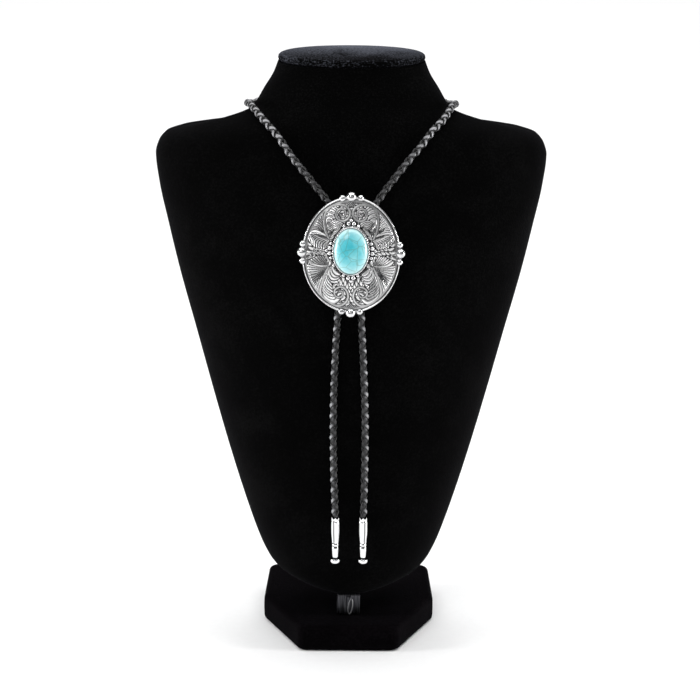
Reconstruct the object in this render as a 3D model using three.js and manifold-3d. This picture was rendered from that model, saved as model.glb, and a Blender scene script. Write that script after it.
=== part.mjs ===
// Bolo tie on a plain velvet neck bust: an oval domed concho with a turquoise cabochon rides
// on one round braided leather cord, which ends in two turned metal tips.
// Millimetres, +Z up, the front faces -Y. The origin is the middle of the base's foot.

import * as THREE from 'three';
import { mergeVertices } from 'three/addons/utils/BufferGeometryUtils.js';
import Module from 'manifold-3d';

const wasm = await Module();
wasm.setup();

const clearance = 0.3; // between two pieces that rest on each other

// Base: a padded block, its plan a hexagon with a narrow front edge.
const baseHeight = 16.8;
const baseFrontReach = 49;
const baseBackReach = 56;
const baseFrontHalf = 30;
const baseSideHalf = 54;
const baseBackHalf = 52;
const baseSideSetback = 2; // how far behind the origin the widest corners lie
const baseCorner = 5;
const baseEdge = 3;

// Bracket: a bent strap that carries the bust above the base.
const bracketRise = 15.1;
const bracketWidth = 14.4;
const bracketGauge = 2;
const bracketFlange = 26;
const bracketFront = 32; // how far in front of the origin its upright stands
const bracketRibWidth = 3.6;
const bracketRibRise = 0.8;
const bracketRibMargin = 1.5; // plain strap above and below the rib

// Bust: the chest and neck form, and the cap on the neck.
const bustHeight = 329.6;
const bustHalfWidth = 118.5;
const chestDepth = 67.5; // from the widest plane to the front of the chest
const backDepth = 31; // from the widest plane to the back
const widestPlane = 5; // how far behind the origin the bust is widest
const neckSaddleFront = 14; // the shoulders sink behind the neck from this far in front of the origin
const neckSaddleBack = 12; // to this far behind it
const capHalfWidth = 44.2;
const capFrontDepth = 28;
const capBackDepth = 30;
const capLip = 4.4;
const capSquareness = 2.1;

// Slide: the concho plate, its bezel, beads and granules.
const plateHalfWidth = 28.8;
const plateHalfHeight = 34.1;
const plateSheet = 1.4;
const plateRise = 4; // how far the dome stands above its rim
const rimWidth = 1.1;
const rimRise = 0.5;
const bigBead = 6.1;
const smallBead = 4.1;
const sideTrioRise = 1.4; // the side beads sit this much above the middle
const bezelHalfWidth = 10.9;
const bezelHalfHeight = 14.4;
const bezelWall = 0.8;
const bezelSink = 0.6; // the bezel's foot below the dome's face
const bezelRound = 0.5;
const bezelHeight = 2.6;
const stoneRise = 2.9; // the bezel's centre above the plate's
const stoneCrown = 3.6; // the stone above the bezel's lip
const stoneGirdle = 1.4; // its upright edge
const beadLift = 0.3; // the beads' centres above the rim
const beadGap = 0.25;
const bigGranule = 2.7;
const smallGranule = 2;
const reliefRise = 0.55;
const slideAcross = 0.4; // to the right of the middle
const slideHeight = 259.8; // of the plate's middle above the floor
const slideTurn = - 2.1; // degrees, seen from the front
const slideLean = 7; // degrees, the top leans back with the chest

// Clip behind the plate, with a channel for each leg of the cord.
const clipHeight = 22;
const clipWall = 0.9;
const clipSpacing = 13.4; // between the two channels
const clipPadHalf = 5;
const clipWebGauge = 2.4;
const clipPadSink = 1; // how deep the pad reaches into the web
const cutOver = 1; // how far a cutting shape runs past what it cuts

// Cord and tips.
const cordDiameter = 4.7;
const tipLength = 30.4;
const tipRadius = 2.6;
const tipTop = 95.8; // height of the tips' mouths above the floor
const leftTipPlace = [ - 8.2, - 65.2 ];
const rightTipPlace = [ 8.6, - 65.2 ];

// Route of the cord's centre line from the left tip to the right one: up the left tail, through
// the clip, over the left shoulder, round the back of the neck and down the right side.
const cordRoute = [
	[ - 8.2, - 65.2, 96.1 ],
	[ - 9.3, - 65.3, 128 ],
	[ - 9.6, - 65.4, 162 ],
	[ - 8.8, - 65.6, 194 ],
	[ - 7.2, - 65.5, 225 ],
	[ - 6.8, - 64.6, 244.7 ],
	[ - 6.3, - 62.8, 259.6 ],
	[ - 5.9, - 61.3, 271.5 ],
	[ - 7.4, - 59.9, 279.6 ],
	[ - 13.9, - 57, 289.8 ],
	[ - 23.1, - 54.4, 301 ],
	[ - 34.2, - 50, 313.9 ],
	[ - 43.1, - 43.6, 325.3 ],
	[ - 51.6, - 33.5, 332.8 ],
	[ - 59.6, - 16.3, 338.2 ],
	[ - 62.4, 0, 336.4 ],
	[ - 60.6, 13.9, 333.6 ],
	[ - 50.6, 26.1, 333.8 ],
	[ - 29.3, 36.1, 336 ],
	[ 0, 38.6, 338 ],
	[ 29.3, 36.1, 336 ],
	[ 50.6, 26.1, 333.8 ],
	[ 60.6, 13.9, 333.6 ],
	[ 62.5, 0, 336.4 ],
	[ 59.8, - 16.2, 338.2 ],
	[ 53.8, - 32, 332.9 ],
	[ 47.9, - 40, 328.5 ],
	[ 41, - 46.6, 320.7 ],
	[ 33.5, - 50.6, 312.5 ],
	[ 26.2, - 53.5, 303.8 ],
	[ 16.5, - 56.8, 291.1 ],
	[ 9.3, - 59.9, 279.5 ],
	[ 7.5, - 61.3, 271 ],
	[ 7.1, - 62.8, 259.1 ],
	[ 6.6, - 64.6, 244.2 ],
	[ 6.4, - 65.5, 225 ],
	[ 7.9, - 65.6, 194 ],
	[ 9.1, - 65.4, 162 ],
	[ 9.2, - 65.3, 128 ],
	[ 8.6, - 65.2, 96.1 ],
];

const velvet = new THREE.MeshStandardMaterial( { color: 0x0b0b0d, roughness: 0.95, metalness: 0 } );
const steel = new THREE.MeshStandardMaterial( { color: 0x3c3c40, roughness: 0.45, metalness: 0.9 } );
const agedSilver = new THREE.MeshStandardMaterial( { color: 0xa9a9aa, roughness: 0.35, metalness: 1 } );
const brightSilver = new THREE.MeshStandardMaterial( { color: 0xd9dadc, roughness: 0.15, metalness: 1 } );
const turquoise = new THREE.MeshStandardMaterial( { color: 0x4fc9d8, roughness: 0.2, metalness: 0 } );
const leather = new THREE.MeshStandardMaterial( { color: 0x1b1b1c, roughness: 0.5, metalness: 0 } );

const degrees = Math.PI / 180;

function signedPower( value, power ) {

	return Math.sign( value ) * Math.abs( value ) ** power;

}

// A closed mesh from rings of equal length, bottom ring first, each going round anticlockwise
// seen from above, with a flat end closing it at the bottom and at the top.
function closedLoft( rings ) {

	const around = rings[ 0 ].length;
	const points = rings.flat();
	const faces = [];
	for ( let i = 0; i < rings.length - 1; i ++ ) {

		for ( let j = 0; j < around; j ++ ) {

			const a = i * around + j;
			const b = i * around + ( j + 1 ) % around;
			faces.push( a, b, b + around, a, b + around, a + around );

		}

	}

	for ( const [ ring, flip ] of [ [ 0, true ], [ rings.length - 1, false ] ] ) {

		const middle = points.length;
		const centre = new THREE.Vector3();
		rings[ ring ].forEach( ( p ) => centre.addScaledVector( p, 1 / around ) );
		points.push( centre );
		for ( let j = 0; j < around; j ++ ) {

			const a = ring * around + j;
			const b = ring * around + ( j + 1 ) % around;
			faces.push( middle, flip ? b : a, flip ? a : b );

		}

	}

	const geometry = new THREE.BufferGeometry().setFromPoints( points );
	geometry.setIndex( faces );
	geometry.computeVertexNormals();
	return geometry;

}

// Turns a closed geometry into a solid that can be joined or cut.
function solid( geometry ) {

	const bare = geometry.clone();
	bare.deleteAttribute( 'normal' );
	bare.deleteAttribute( 'uv' );
	const merged = mergeVertices( bare, 1e-5 );
	const vertProperties = new Float32Array( merged.attributes.position.array );
	const triVerts = new Uint32Array( merged.index.array );
	return new wasm.Manifold( new wasm.Mesh( { numProp: 3, vertProperties, triVerts } ) );

}

function geometryOf( manifold ) {

	const mesh = manifold.getMesh();
	const geometry = new THREE.BufferGeometry();
	const corners = new Float32Array( mesh.vertProperties );
	geometry.setAttribute( 'position', new THREE.BufferAttribute( corners, 3 ) );
	geometry.setIndex( new THREE.BufferAttribute( new Uint32Array( mesh.triVerts ), 1 ) );
	geometry.computeVertexNormals();
	return geometry;

}

function joined( geometries ) {

	return geometryOf( geometries.map( solid ).reduce( ( sum, next ) => sum.add( next ) ) );

}

function named( name, geometry, material ) {

	const mesh = new THREE.Mesh( geometry, material );
	mesh.name = name;
	return mesh;

}

// Levels of the bust from its foot to the top of the neck. up, half, front and back are shares of
// the bust's height, half width, chest depth and back depth; square is the roundness of the back
// corners, 2 for an ellipse and more for a squarer one. drop is how far the level sinks behind the
// neck, a share of the bust's height.
const bustLevels = [
	{ up: 0, half: 0.143, front: 0.563, back: 0.5, square: 2, drop: 0 },
	{ up: 0.0035, half: 0.215, front: 0.6, back: 0.56, square: 2, drop: 0 },
	{ up: 0.011, half: 0.29, front: 0.637, back: 0.62, square: 2, drop: 0 },
	{ up: 0.0245, half: 0.365, front: 0.674, back: 0.68, square: 2.1, drop: 0 },
	{ up: 0.04, half: 0.415, front: 0.704, back: 0.72, square: 2.2, drop: 0 },
	{ up: 0.065, half: 0.455, front: 0.741, back: 0.76, square: 2.3, drop: 0 },
	{ up: 0.095, half: 0.489, front: 0.785, back: 0.79, square: 2.4, drop: 0 },
	{ up: 0.16, half: 0.549, front: 0.852, back: 0.83, square: 2.6, drop: 0 },
	{ up: 0.26, half: 0.631, front: 0.919, back: 0.88, square: 2.8, drop: 0 },
	{ up: 0.38, half: 0.72, front: 0.975, back: 0.93, square: 3, drop: 0 },
	{ up: 0.5, half: 0.805, front: 1, back: 0.97, square: 3, drop: 0 },
	{ up: 0.61, half: 0.884, front: 0.984, back: 0.985, square: 3, drop: 0 },
	{ up: 0.7, half: 0.94, front: 0.941, back: 1, square: 3, drop: 0 },
	{ up: 0.777, half: 0.984, front: 0.887, back: 1, square: 3, drop: 0 },
	{ up: 0.83, half: 1, front: 0.834, back: 1, square: 2.9, drop: 0 },
	{ up: 0.85, half: 0.985, front: 0.807, back: 1, square: 2.8, drop: 0 },
	{ up: 0.867, half: 0.947, front: 0.781, back: 1, square: 2.7, drop: 0 },
	{ up: 0.88, half: 0.877, front: 0.757, back: 1, square: 2.6, drop: 0.0045 },
	{ up: 0.892, half: 0.785, front: 0.73, back: 1, square: 2.6, drop: 0.012 },
	{ up: 0.905, half: 0.66, front: 0.696, back: 1, square: 2.5, drop: 0.0197 },
	{ up: 0.9165, half: 0.57, front: 0.661, back: 1, square: 2.4, drop: 0.0243 },
	{ up: 0.927, half: 0.513, front: 0.625, back: 1, square: 2.3, drop: 0.0243 },
	{ up: 0.94, half: 0.485, front: 0.576, back: 0.99, square: 2.2, drop: 0.0212 },
	{ up: 0.961, half: 0.443, front: 0.513, back: 0.98, square: 2.1, drop: 0.0121 },
	{ up: 0.982, half: 0.397, front: 0.456, back: 0.965, square: 2, drop: 0.0045 },
	{ up: 1, half: 0.373, front: 0.415, back: 0.95, square: 2, drop: 0 },
];

// One ring of the bust: an oval whose front and back halves have their own depth, and which sinks
// by drop from neckSaddleFront back to neckSaddleBack.
function ovalRing( half, front, back, frontSquare, backSquare, height, drop = 0, steps = 40 ) {

	const ring = [];
	for ( let i = 0; i < steps; i ++ ) {

		const angle = i / steps * 2 * Math.PI;
		const isFront = Math.sin( angle ) < 0;
		const power = 2 / ( isFront ? frontSquare : backSquare );
		const x = half * signedPower( Math.cos( angle ), power );
		const y = ( isFront ? front : back ) * signedPower( Math.sin( angle ), power );
		const behind = THREE.MathUtils.smoothstep( widestPlane + y, - neckSaddleFront, neckSaddleBack );
		ring.push( new THREE.Vector3( x, widestPlane + y, height - drop * behind ) );

	}

	return ring;

}

const chestSquareness = 2.15;
const bustFoot = baseHeight + bracketRise;
const bustTop = bustFoot + bustHeight;

function bustForm() {

	return closedLoft( bustLevels.map( ( { up, half, front, back, square, drop } ) => ovalRing(
		half * bustHalfWidth, front * chestDepth, back * backDepth,
		chestSquareness, square, bustFoot + up * bustHeight, drop * bustHeight ) ) );

}

// How far in front of the origin the middle of the chest lies at a height above the floor.
function chestReach( height ) {

	const up = ( height - bustFoot ) / bustHeight;
	const i = bustLevels.findIndex( ( level ) => level.up > up );
	const [ below, above ] = [ bustLevels[ i - 1 ], bustLevels[ i ] ];
	const share = ( up - below.up ) / ( above.up - below.up );
	return THREE.MathUtils.lerp( below.front, above.front, share ) * chestDepth - widestPlane;

}

// The cap's lip, from its underside to its top: inset is how far each level lies inside the
// cap's outline, as a share of the lip.
const capLevels = [
	{ up: 0, inset: 0.3 },
	{ up: 0.18, inset: 0.08 },
	{ up: 0.45, inset: 0 },
	{ up: 0.75, inset: 0.12 },
	{ up: 0.93, inset: 0.42 },
	{ up: 1, inset: 0.9 },
];

function bustCap() {

	const foot = bustTop + clearance;
	return closedLoft( capLevels.map( ( { up, inset } ) => ovalRing(
		capHalfWidth - inset * capLip, capFrontDepth - inset * capLip, capBackDepth - inset * capLip,
		capSquareness, capSquareness, foot + up * capLip ) ) );

}

// A polygon with its corners rounded.
function roundedShape( corners, radius ) {

	const shape = new THREE.Shape();
	corners.forEach( ( corner, i ) => {

		const before = corners.at( i - 1 ).clone().sub( corner ).setLength( radius ).add( corner );
		const next = corners[ ( i + 1 ) % corners.length ];
		const after = next.clone().sub( corner ).setLength( radius ).add( corner );
		if ( i === 0 ) shape.moveTo( before.x, before.y );
		else shape.lineTo( before.x, before.y );
		shape.quadraticCurveTo( corner.x, corner.y, after.x, after.y );

	} );
	shape.closePath();
	return shape;

}

function bustBase() {

	const front = baseFrontReach - baseEdge;
	const back = baseBackReach - baseEdge;
	const plan = [
		[ - baseFrontHalf, - front ],
		[ baseFrontHalf, - front ],
		[ baseSideHalf - baseEdge, baseSideSetback ],
		[ baseBackHalf - baseEdge, back ],
		[ - baseBackHalf + baseEdge, back ],
		[ - baseSideHalf + baseEdge, baseSideSetback ],
	].map( ( [ x, y ] ) => new THREE.Vector2( x, y ) );
	const options = {
		depth: baseHeight - 2 * baseEdge, curveSegments: 3,
		bevelThickness: baseEdge, bevelSize: baseEdge, bevelSegments: 3,
	};
	return new THREE.ExtrudeGeometry( roundedShape( plan, baseCorner ), options ).translate( 0, 0, baseEdge );

}

// The strap seen from its side: a flange on the base, an upright with a pressed rib in front, and
// a flange under the bust. Its profile is drawn with X backwards and Y up, then turned upright.
function bustBracket() {

	const high = bracketRise - 2 * clearance;
	const profile = new THREE.Shape( [
		[ 0, 0 ],
		[ bracketFlange, 0 ],
		[ bracketFlange, bracketGauge ],
		[ bracketGauge, bracketGauge ],
		[ bracketGauge, high - bracketGauge ],
		[ bracketFlange, high - bracketGauge ],
		[ bracketFlange, high ],
		[ 0, high ],
	].map( ( [ x, y ] ) => new THREE.Vector2( x, y ) ) );
	const strap = new THREE.ExtrudeGeometry( profile, { depth: bracketWidth, bevelEnabled: false } );
	strap.translate( 0, 0, - bracketWidth / 2 );
	const ribLength = high - 2 * bracketRibMargin;
	const rib = new THREE.CylinderGeometry( bracketRibWidth / 2, bracketRibWidth / 2, ribLength, 10 );
	rib.scale( 2 * bracketRibRise / bracketRibWidth, 1, 1 );
	rib.translate( 0, high / 2, 0 );
	return joined( [ strap, rib ] );

}

// The slide is drawn lying down: X to the right, Y up the plate, Z out of its face.

// Height of the plate's face at a point, above the back of its rim.
function faceHeight( x, y ) {

	const reach = ( x / plateHalfWidth ) ** 2 + ( y / plateHalfHeight ) ** 2;
	return plateSheet + plateRise * ( 1 - Math.min( reach, 1 ) );

}

function ellipseRing( halfWidth, halfHeight, height, steps ) {

	const ring = [];
	for ( let i = 0; i < steps; i ++ ) {

		const angle = i / steps * 2 * Math.PI;
		ring.push( new THREE.Vector3( halfWidth * Math.cos( angle ), halfHeight * Math.sin( angle ), height ) );

	}

	return ring;

}

// The domed sheet with its raised rim, from the middle of its hollow back round the rim to the
// middle of its face. inset is in rim widths from the plate's edge; share is of the plate's size.
function domedSheet() {

	const steps = 48;
	const onDome = ( share, lift ) => {

		const height = plateRise * ( 1 - share ** 2 ) + lift;
		return ellipseRing( share * plateHalfWidth, share * plateHalfHeight, height, steps );

	};

	const onRim = ( inset, height ) => ellipseRing(
		plateHalfWidth - inset * rimWidth, plateHalfHeight - inset * rimWidth, height, steps );
	const back = [ 0.3, 0.6, 0.88 ].map( ( share ) => onDome( share, 0 ) );
	const face = [ 0.9, 0.72, 0.5, 0.3 ].map( ( share ) => onDome( share, plateSheet ) );
	const rim = [
		onRim( 0.4, 0 ),
		onRim( 0, 0.5 * plateSheet ),
		onRim( 0, plateSheet ),
		onRim( 0.3, plateSheet + rimRise ),
		onRim( 0.8, plateSheet + rimRise ),
		onRim( 1.2, plateSheet + 0.25 * rimRise ),
	];
	return closedLoft( [ ...back, ...rim, ...face ] );

}

// The bezel's wall, a low oval collar that holds the stone.
function bezelCollar() {

	const steps = 40;
	const foot = faceHeight( 0, stoneRise + bezelHalfHeight ) - bezelSink;
	const top = faceHeight( 0, stoneRise ) + bezelHeight;
	const rings = [
		ellipseRing( bezelHalfWidth, bezelHalfHeight, foot, steps ),
		ellipseRing( bezelHalfWidth, bezelHalfHeight, top - bezelRound, steps ),
		ellipseRing( bezelHalfWidth - 0.4 * bezelWall, bezelHalfHeight - 0.4 * bezelWall, top, steps ),
	];
	const pocket = [
		ellipseRing( bezelHalfWidth - bezelWall, bezelHalfHeight - bezelWall, pocketFloor(), steps ),
		ellipseRing( bezelHalfWidth - bezelWall, bezelHalfHeight - bezelWall, top + cutOver, steps ),
	];
	return solid( closedLoft( rings ) ).subtract( solid( closedLoft( pocket ) ) ).translate( 0, stoneRise, 0 );

}

// The stone's seat, flat and a little above the dome.
function pocketFloor() {

	return faceHeight( 0, stoneRise ) + clearance;

}

function turquoiseStone() {

	const steps = 40;
	const halfWidth = bezelHalfWidth - bezelWall - clearance;
	const halfHeight = bezelHalfHeight - bezelWall - clearance;
	const foot = pocketFloor() + clearance;
	const top = faceHeight( 0, stoneRise ) + bezelHeight + stoneCrown;
	const girdle = foot + stoneGirdle;
	const rings = [ ellipseRing( halfWidth, halfHeight, foot, steps ) ];
	for ( const angle of [ 0, 14, 28, 42, 56, 70, 82 ] ) {

		const share = Math.cos( angle * degrees );
		const height = girdle + ( top - girdle ) * Math.sin( angle * degrees );
		rings.push( ellipseRing( share * halfWidth, share * halfHeight, height, steps ) );

	}

	return closedLoft( rings ).translate( 0, stoneRise, 0 );

}

function ball( diameter, x, y, z, detail = 12 ) {

	return new THREE.SphereGeometry( diameter / 2, detail, detail / 2 ).translate( x, y, z );

}

// Three beads on the plate's edge at the given angle, a big one between two small ones.
function beadTrio( angle ) {

	const beads = [];
	const along = ( bigBead + smallBead ) / 2 + beadGap;
	const [ x, y ] = [ plateHalfWidth * Math.cos( angle ), plateHalfHeight * Math.sin( angle ) ];
	const [ sin, cos ] = [ Math.sin( angle ), Math.cos( angle ) ];
	const tangent = new THREE.Vector2( - plateHalfWidth * sin, plateHalfHeight * cos );
	tangent.setLength( along );
	beads.push( ball( bigBead, x, y, plateSheet + beadLift ) );
	for ( const side of [ - 1, 1 ] ) {

		const [ u, v ] = [ x + side * tangent.x, y + side * tangent.y ];
		const inward = 0.985 / Math.hypot( u / plateHalfWidth, v / plateHalfHeight );
		beads.push( ball( smallBead, u * inward, v * inward, plateSheet + beadLift, 10 ) );

	}

	return beads;

}

// A pyramid of five granules on each side of the bezel. across and out are from the bezel's edge
// on that side, in big granules; size picks the granule.
const granuleRows = [
	{ across: 0, out: 1.26, size: smallGranule },
	{ across: 0.556, out: 0.556, size: bigGranule },
	{ across: - 0.556, out: 0.556, size: bigGranule },
	{ across: 1.556, out: 0.278, size: smallGranule },
	{ across: - 1.556, out: 0.278, size: smallGranule },
];

function granuleClusters() {

	const sides = [
		{ turn: 0, reach: bezelHalfWidth },
		{ turn: 90, reach: bezelHalfHeight },
		{ turn: 180, reach: bezelHalfWidth },
		{ turn: 270, reach: bezelHalfHeight },
	];
	const granules = [];
	for ( const { turn, reach } of sides ) {

		for ( const { across, out, size } of granuleRows ) {

			const place = new THREE.Vector2( reach + out * bigGranule, across * bigGranule );
			place.rotateAround( new THREE.Vector2(), turn * degrees );
			const [ x, y ] = [ place.x, place.y + stoneRise ];
			granules.push( ball( size, x, y, faceHeight( x, y ) + 0.2 * size, 8 ) );

		}

	}

	return granules;

}

// The engraving's main leaves and stems on the left half of the plate, root first; each is mirrored
// on the right. Points and widths are shares of the plate's half width and half height.
const leafRows = [
	{ width: 0.05, points: [ [ - 0.47, 0.29 ], [ - 0.62, 0.34 ], [ - 0.79, 0.36 ], [ - 0.88, 0.27 ] ] },
	{ width: 0.05, points: [ [ - 0.45, 0.28 ], [ - 0.60, 0.29 ], [ - 0.71, 0.25 ], [ - 0.74, 0.15 ] ] },
	{ width: 0.05, points: [ [ - 0.44, 0.26 ], [ - 0.51, 0.25 ], [ - 0.60, 0.20 ], [ - 0.64, 0.12 ] ] },
	{ width: 0.06, points: [ [ - 0.50, 0.40 ], [ - 0.56, 0.51 ], [ - 0.60, 0.63 ], [ - 0.60, 0.75 ] ] },
	{ width: 0.06, points: [ [ - 0.49, 0.37 ], [ - 0.58, 0.48 ], [ - 0.67, 0.57 ], [ - 0.74, 0.62 ] ] },
	{ width: 0.06, points: [ [ - 0.48, 0.34 ], [ - 0.60, 0.41 ], [ - 0.71, 0.47 ], [ - 0.83, 0.49 ] ] },
	{ width: 0.06, points: [ [ - 0.51, 0.62 ], [ - 0.48, 0.74 ], [ - 0.41, 0.79 ], [ - 0.31, 0.76 ] ] },
	{ width: 0.06, points: [ [ - 0.51, 0.50 ], [ - 0.49, 0.60 ], [ - 0.43, 0.64 ], [ - 0.34, 0.61 ] ] },
	{ width: 0.05, points: [ [ - 0.46, 0.41 ], [ - 0.43, 0.49 ], [ - 0.34, 0.55 ], [ - 0.20, 0.51 ] ] },
	{ width: 0.05, points: [ [ - 0.41, 0.34 ], [ - 0.38, 0.39 ], [ - 0.33, 0.44 ], [ - 0.24, 0.45 ] ] },
	{ width: 0.05, points: [ [ - 0.46, - 0.15 ], [ - 0.54, - 0.15 ], [ - 0.61, - 0.11 ], [ - 0.66, - 0.04 ] ] },
	{ width: 0.05, points: [ [ - 0.47, - 0.18 ], [ - 0.61, - 0.20 ], [ - 0.75, - 0.18 ], [ - 0.85, - 0.11 ] ] },
	{ width: 0.06, points: [ [ - 0.49, - 0.22 ], [ - 0.62, - 0.28 ], [ - 0.76, - 0.30 ], [ - 0.88, - 0.29 ] ] },
	{ width: 0.06, points: [ [ - 0.49, - 0.24 ], [ - 0.60, - 0.32 ], [ - 0.72, - 0.39 ], [ - 0.83, - 0.41 ] ] },
	{ width: 0.06, points: [ [ - 0.50, - 0.27 ], [ - 0.58, - 0.38 ], [ - 0.67, - 0.47 ], [ - 0.75, - 0.56 ] ] },
	{ width: 0.06, points: [ [ - 0.47, - 0.25 ], [ - 0.47, - 0.35 ], [ - 0.40, - 0.44 ], [ - 0.28, - 0.46 ] ] },
	{ width: 0.06, points: [ [ - 0.42, - 0.23 ], [ - 0.41, - 0.32 ], [ - 0.35, - 0.38 ], [ - 0.26, - 0.37 ] ] },
	{ width: 0.10, points: [ [ - 0.51, - 0.33 ], [ - 0.49, - 0.43 ], [ - 0.44, - 0.49 ], [ - 0.39, - 0.53 ] ] },
	{ width: 0.10, points: [ [ - 0.56, - 0.50 ], [ - 0.52, - 0.60 ], [ - 0.45, - 0.66 ], [ - 0.38, - 0.68 ] ] },
	{ width: 0.10, points: [ [ - 0.56, - 0.67 ], [ - 0.47, - 0.77 ], [ - 0.34, - 0.80 ], [ - 0.24, - 0.75 ] ] },
];
const stemRows = [
	{ width: 0.06, points: [
		[ - 0.44, 0.29 ], [ - 0.53, 0.46 ], [ - 0.54, 0.62 ], [ - 0.47, 0.79 ], [ - 0.32, 0.86 ],
		[ - 0.17, 0.86 ], [ - 0.05, 0.79 ], [ - 0.04, 0.69 ], [ - 0.10, 0.61 ], [ - 0.21, 0.59 ],
		[ - 0.30, 0.65 ], [ - 0.31, 0.73 ], [ - 0.24, 0.79 ], [ - 0.17, 0.77 ], [ - 0.14, 0.72 ],
	] },
	{ width: 0.06, points: [
		[ - 0.46, - 0.20 ], [ - 0.54, - 0.35 ], [ - 0.59, - 0.51 ], [ - 0.61, - 0.65 ], [ - 0.56, - 0.77 ],
		[ - 0.43, - 0.85 ], [ - 0.28, - 0.88 ], [ - 0.15, - 0.85 ], [ - 0.07, - 0.76 ], [ - 0.06, - 0.66 ],
		[ - 0.12, - 0.57 ], [ - 0.22, - 0.55 ], [ - 0.31, - 0.59 ], [ - 0.32, - 0.67 ], [ - 0.26, - 0.72 ],
		[ - 0.19, - 0.70 ],
	] },
];

// One leaf or stem as a tapering bead lying on the dome, its foot sunk into the sheet.
function scroll( { width, points }, profile, steps, side ) {

	const reach = side * plateHalfWidth;
	const corners = points.map( ( [ x, y ] ) => new THREE.Vector3( x * reach, y * plateHalfHeight, 0 ) );
	const line = new THREE.CatmullRomCurve3( corners, false, 'centripetal' );
	const rings = [];
	for ( let i = 0; i <= steps; i ++ ) {

		const along = i / steps;
		const place = line.getPoint( along );
		const heading = line.getTangent( along );
		const half = width * plateHalfWidth / 2 * profile( along );
		const crest = 0.45 * half;
		const section = [ [ half, - 1 ], [ crest, 1 ], [ - crest, 1 ], [ - half, - 1 ] ];
		rings.push( section.map( ( [ across, lift ] ) => {

			const [ x, y ] = [ place.x - across * heading.y, place.y + across * heading.x ];
			return new THREE.Vector3( x, y, faceHeight( x, y ) + lift * reliefRise );

		} ) );

	}

	return closedLoft( rings );

}

const leafTaper = ( along ) => 0.3 + 0.7 * Math.sin( Math.PI * Math.min( 1, 0.12 + 0.8 * along ) );
const stemTaper = ( along ) => 1 - 0.35 * along;

function scrolls() {

	return [ - 1, 1 ].flatMap( ( side ) => [
		...leafRows.map( ( row ) => scroll( row, leafTaper, 6, side ) ),
		...stemRows.map( ( row ) => scroll( row, stemTaper, 30, side ) ),
	] );

}

// The plate with everything soldered to it, one solid.
function slidePlate() {

	const sideAngle = Math.asin( sideTrioRise / plateHalfHeight );
	const pieces = [
		domedSheet(),
		...beadTrio( 90 * degrees ),
		...beadTrio( 270 * degrees ),
		...beadTrio( sideAngle ),
		...beadTrio( Math.PI - sideAngle ),
		...granuleClusters(),
		...scrolls(),
	];
	const body = pieces.map( solid ).reduce( ( sum, next ) => sum.add( next ) ).add( bezelCollar() );
	return geometryOf( body );

}

// Two joined sleeves behind the plate, and the pad that holds them to its hollow back.
const channelRadius = cordDiameter / 2 + clearance;
const sleeveRadius = channelRadius + clipWall;

function slideClip() {

	const sleeves = [ - 1, 1 ].map( ( side ) => {

		const sleeve = new THREE.CylinderGeometry( sleeveRadius, sleeveRadius, clipHeight, 20 );
		return sleeve.translate( side * clipSpacing / 2, 0, - sleeveRadius );

	} );
	const web = new THREE.BoxGeometry( clipSpacing, clipHeight, clipWebGauge );
	web.translate( 0, 0, - clipWebGauge / 2 );
	const padTop = faceHeight( clipPadHalf, clipPadHalf ) - plateSheet - clearance;
	const padSize = [ 2 * clipPadHalf, 2 * clipPadHalf, padTop + clipPadSink ];
	const pad = new THREE.BoxGeometry( ...padSize ).translate( 0, 0, ( padTop - clipPadSink ) / 2 );
	let body = [ ...sleeves, web, pad ].map( solid ).reduce( ( sum, next ) => sum.add( next ) );
	for ( const side of [ - 1, 1 ] ) {

		const cutLength = clipHeight + 2 * cutOver;
		const channel = new THREE.CylinderGeometry( channelRadius, channelRadius, cutLength, 20 );
		body = body.subtract( solid( channel.translate( side * clipSpacing / 2, 0, - sleeveRadius ) ) );

	}

	return geometryOf( body );

}

// How far the slide's middle stands in front of the origin, so that the back of its clip lies
// against the chest all the way up.
function slideReach() {

	const lean = slideLean * degrees;
	const depth = 2 * sleeveRadius;
	const reaches = [ - 0.5, - 0.25, 0, 0.25, 0.5 ].map( ( share ) => {

		const up = share * clipHeight;
		const chest = chestReach( slideHeight + up * Math.cos( lean ) - depth * Math.sin( lean ) );
		return chest + clearance + up * Math.sin( lean ) + depth * Math.cos( lean );

	} );
	return Math.max( ...reaches );

}

// The round cord, swept along its route.
function cord() {

	const points = cordRoute.map( ( place ) => new THREE.Vector3( ...place ) );
	const route = new THREE.CatmullRomCurve3( points, false, 'centripetal' );
	const section = new THREE.Shape();
	const sides = 10;
	for ( let i = 0; i < sides; i ++ ) {

		const angle = i / sides * 2 * Math.PI;
		const [ x, y ] = [ cordDiameter / 2 * Math.cos( angle ), cordDiameter / 2 * Math.sin( angle ) ];
		if ( i === 0 ) section.moveTo( x, y );
		else section.lineTo( x, y );

	}

	section.closePath();
	return new THREE.ExtrudeGeometry( section, { steps: 78, extrudePath: route, bevelEnabled: false } );

}

// Outline of a turned tip: down is a share of its length below its mouth, wide a share of its radius.
const tipProfile = [
	{ down: 0, wide: 0.962 },
	{ down: 0.1, wide: 1 },
	{ down: 0.3, wide: 1 },
	{ down: 0.55, wide: 0.808 },
	{ down: 0.57, wide: 0.692 },
	{ down: 0.59, wide: 0.788 },
	{ down: 0.61, wide: 0.788 },
	{ down: 0.63, wide: 0.692 },
	{ down: 0.65, wide: 0.769 },
	{ down: 0.86, wide: 0.635 },
	{ down: 0.885, wide: 0.615 },
	{ down: 0.895, wide: 1.08 },
	{ down: 0.95, wide: 1.12 },
	{ down: 0.985, wide: 0.846 },
	{ down: 1, wide: 0 },
];

function tip() {

	const outline = [ new THREE.Vector2( 0, 0 ) ];
	for ( const { down, wide } of tipProfile ) {

		outline.push( new THREE.Vector2( wide * tipRadius, - down * tipLength ) );

	}

	return new THREE.LatheGeometry( outline.reverse(), 16 ).rotateX( Math.PI / 2 );

}

const bolo = new THREE.Group();
bolo.name = 'bolo_tie_on_bust';

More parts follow.
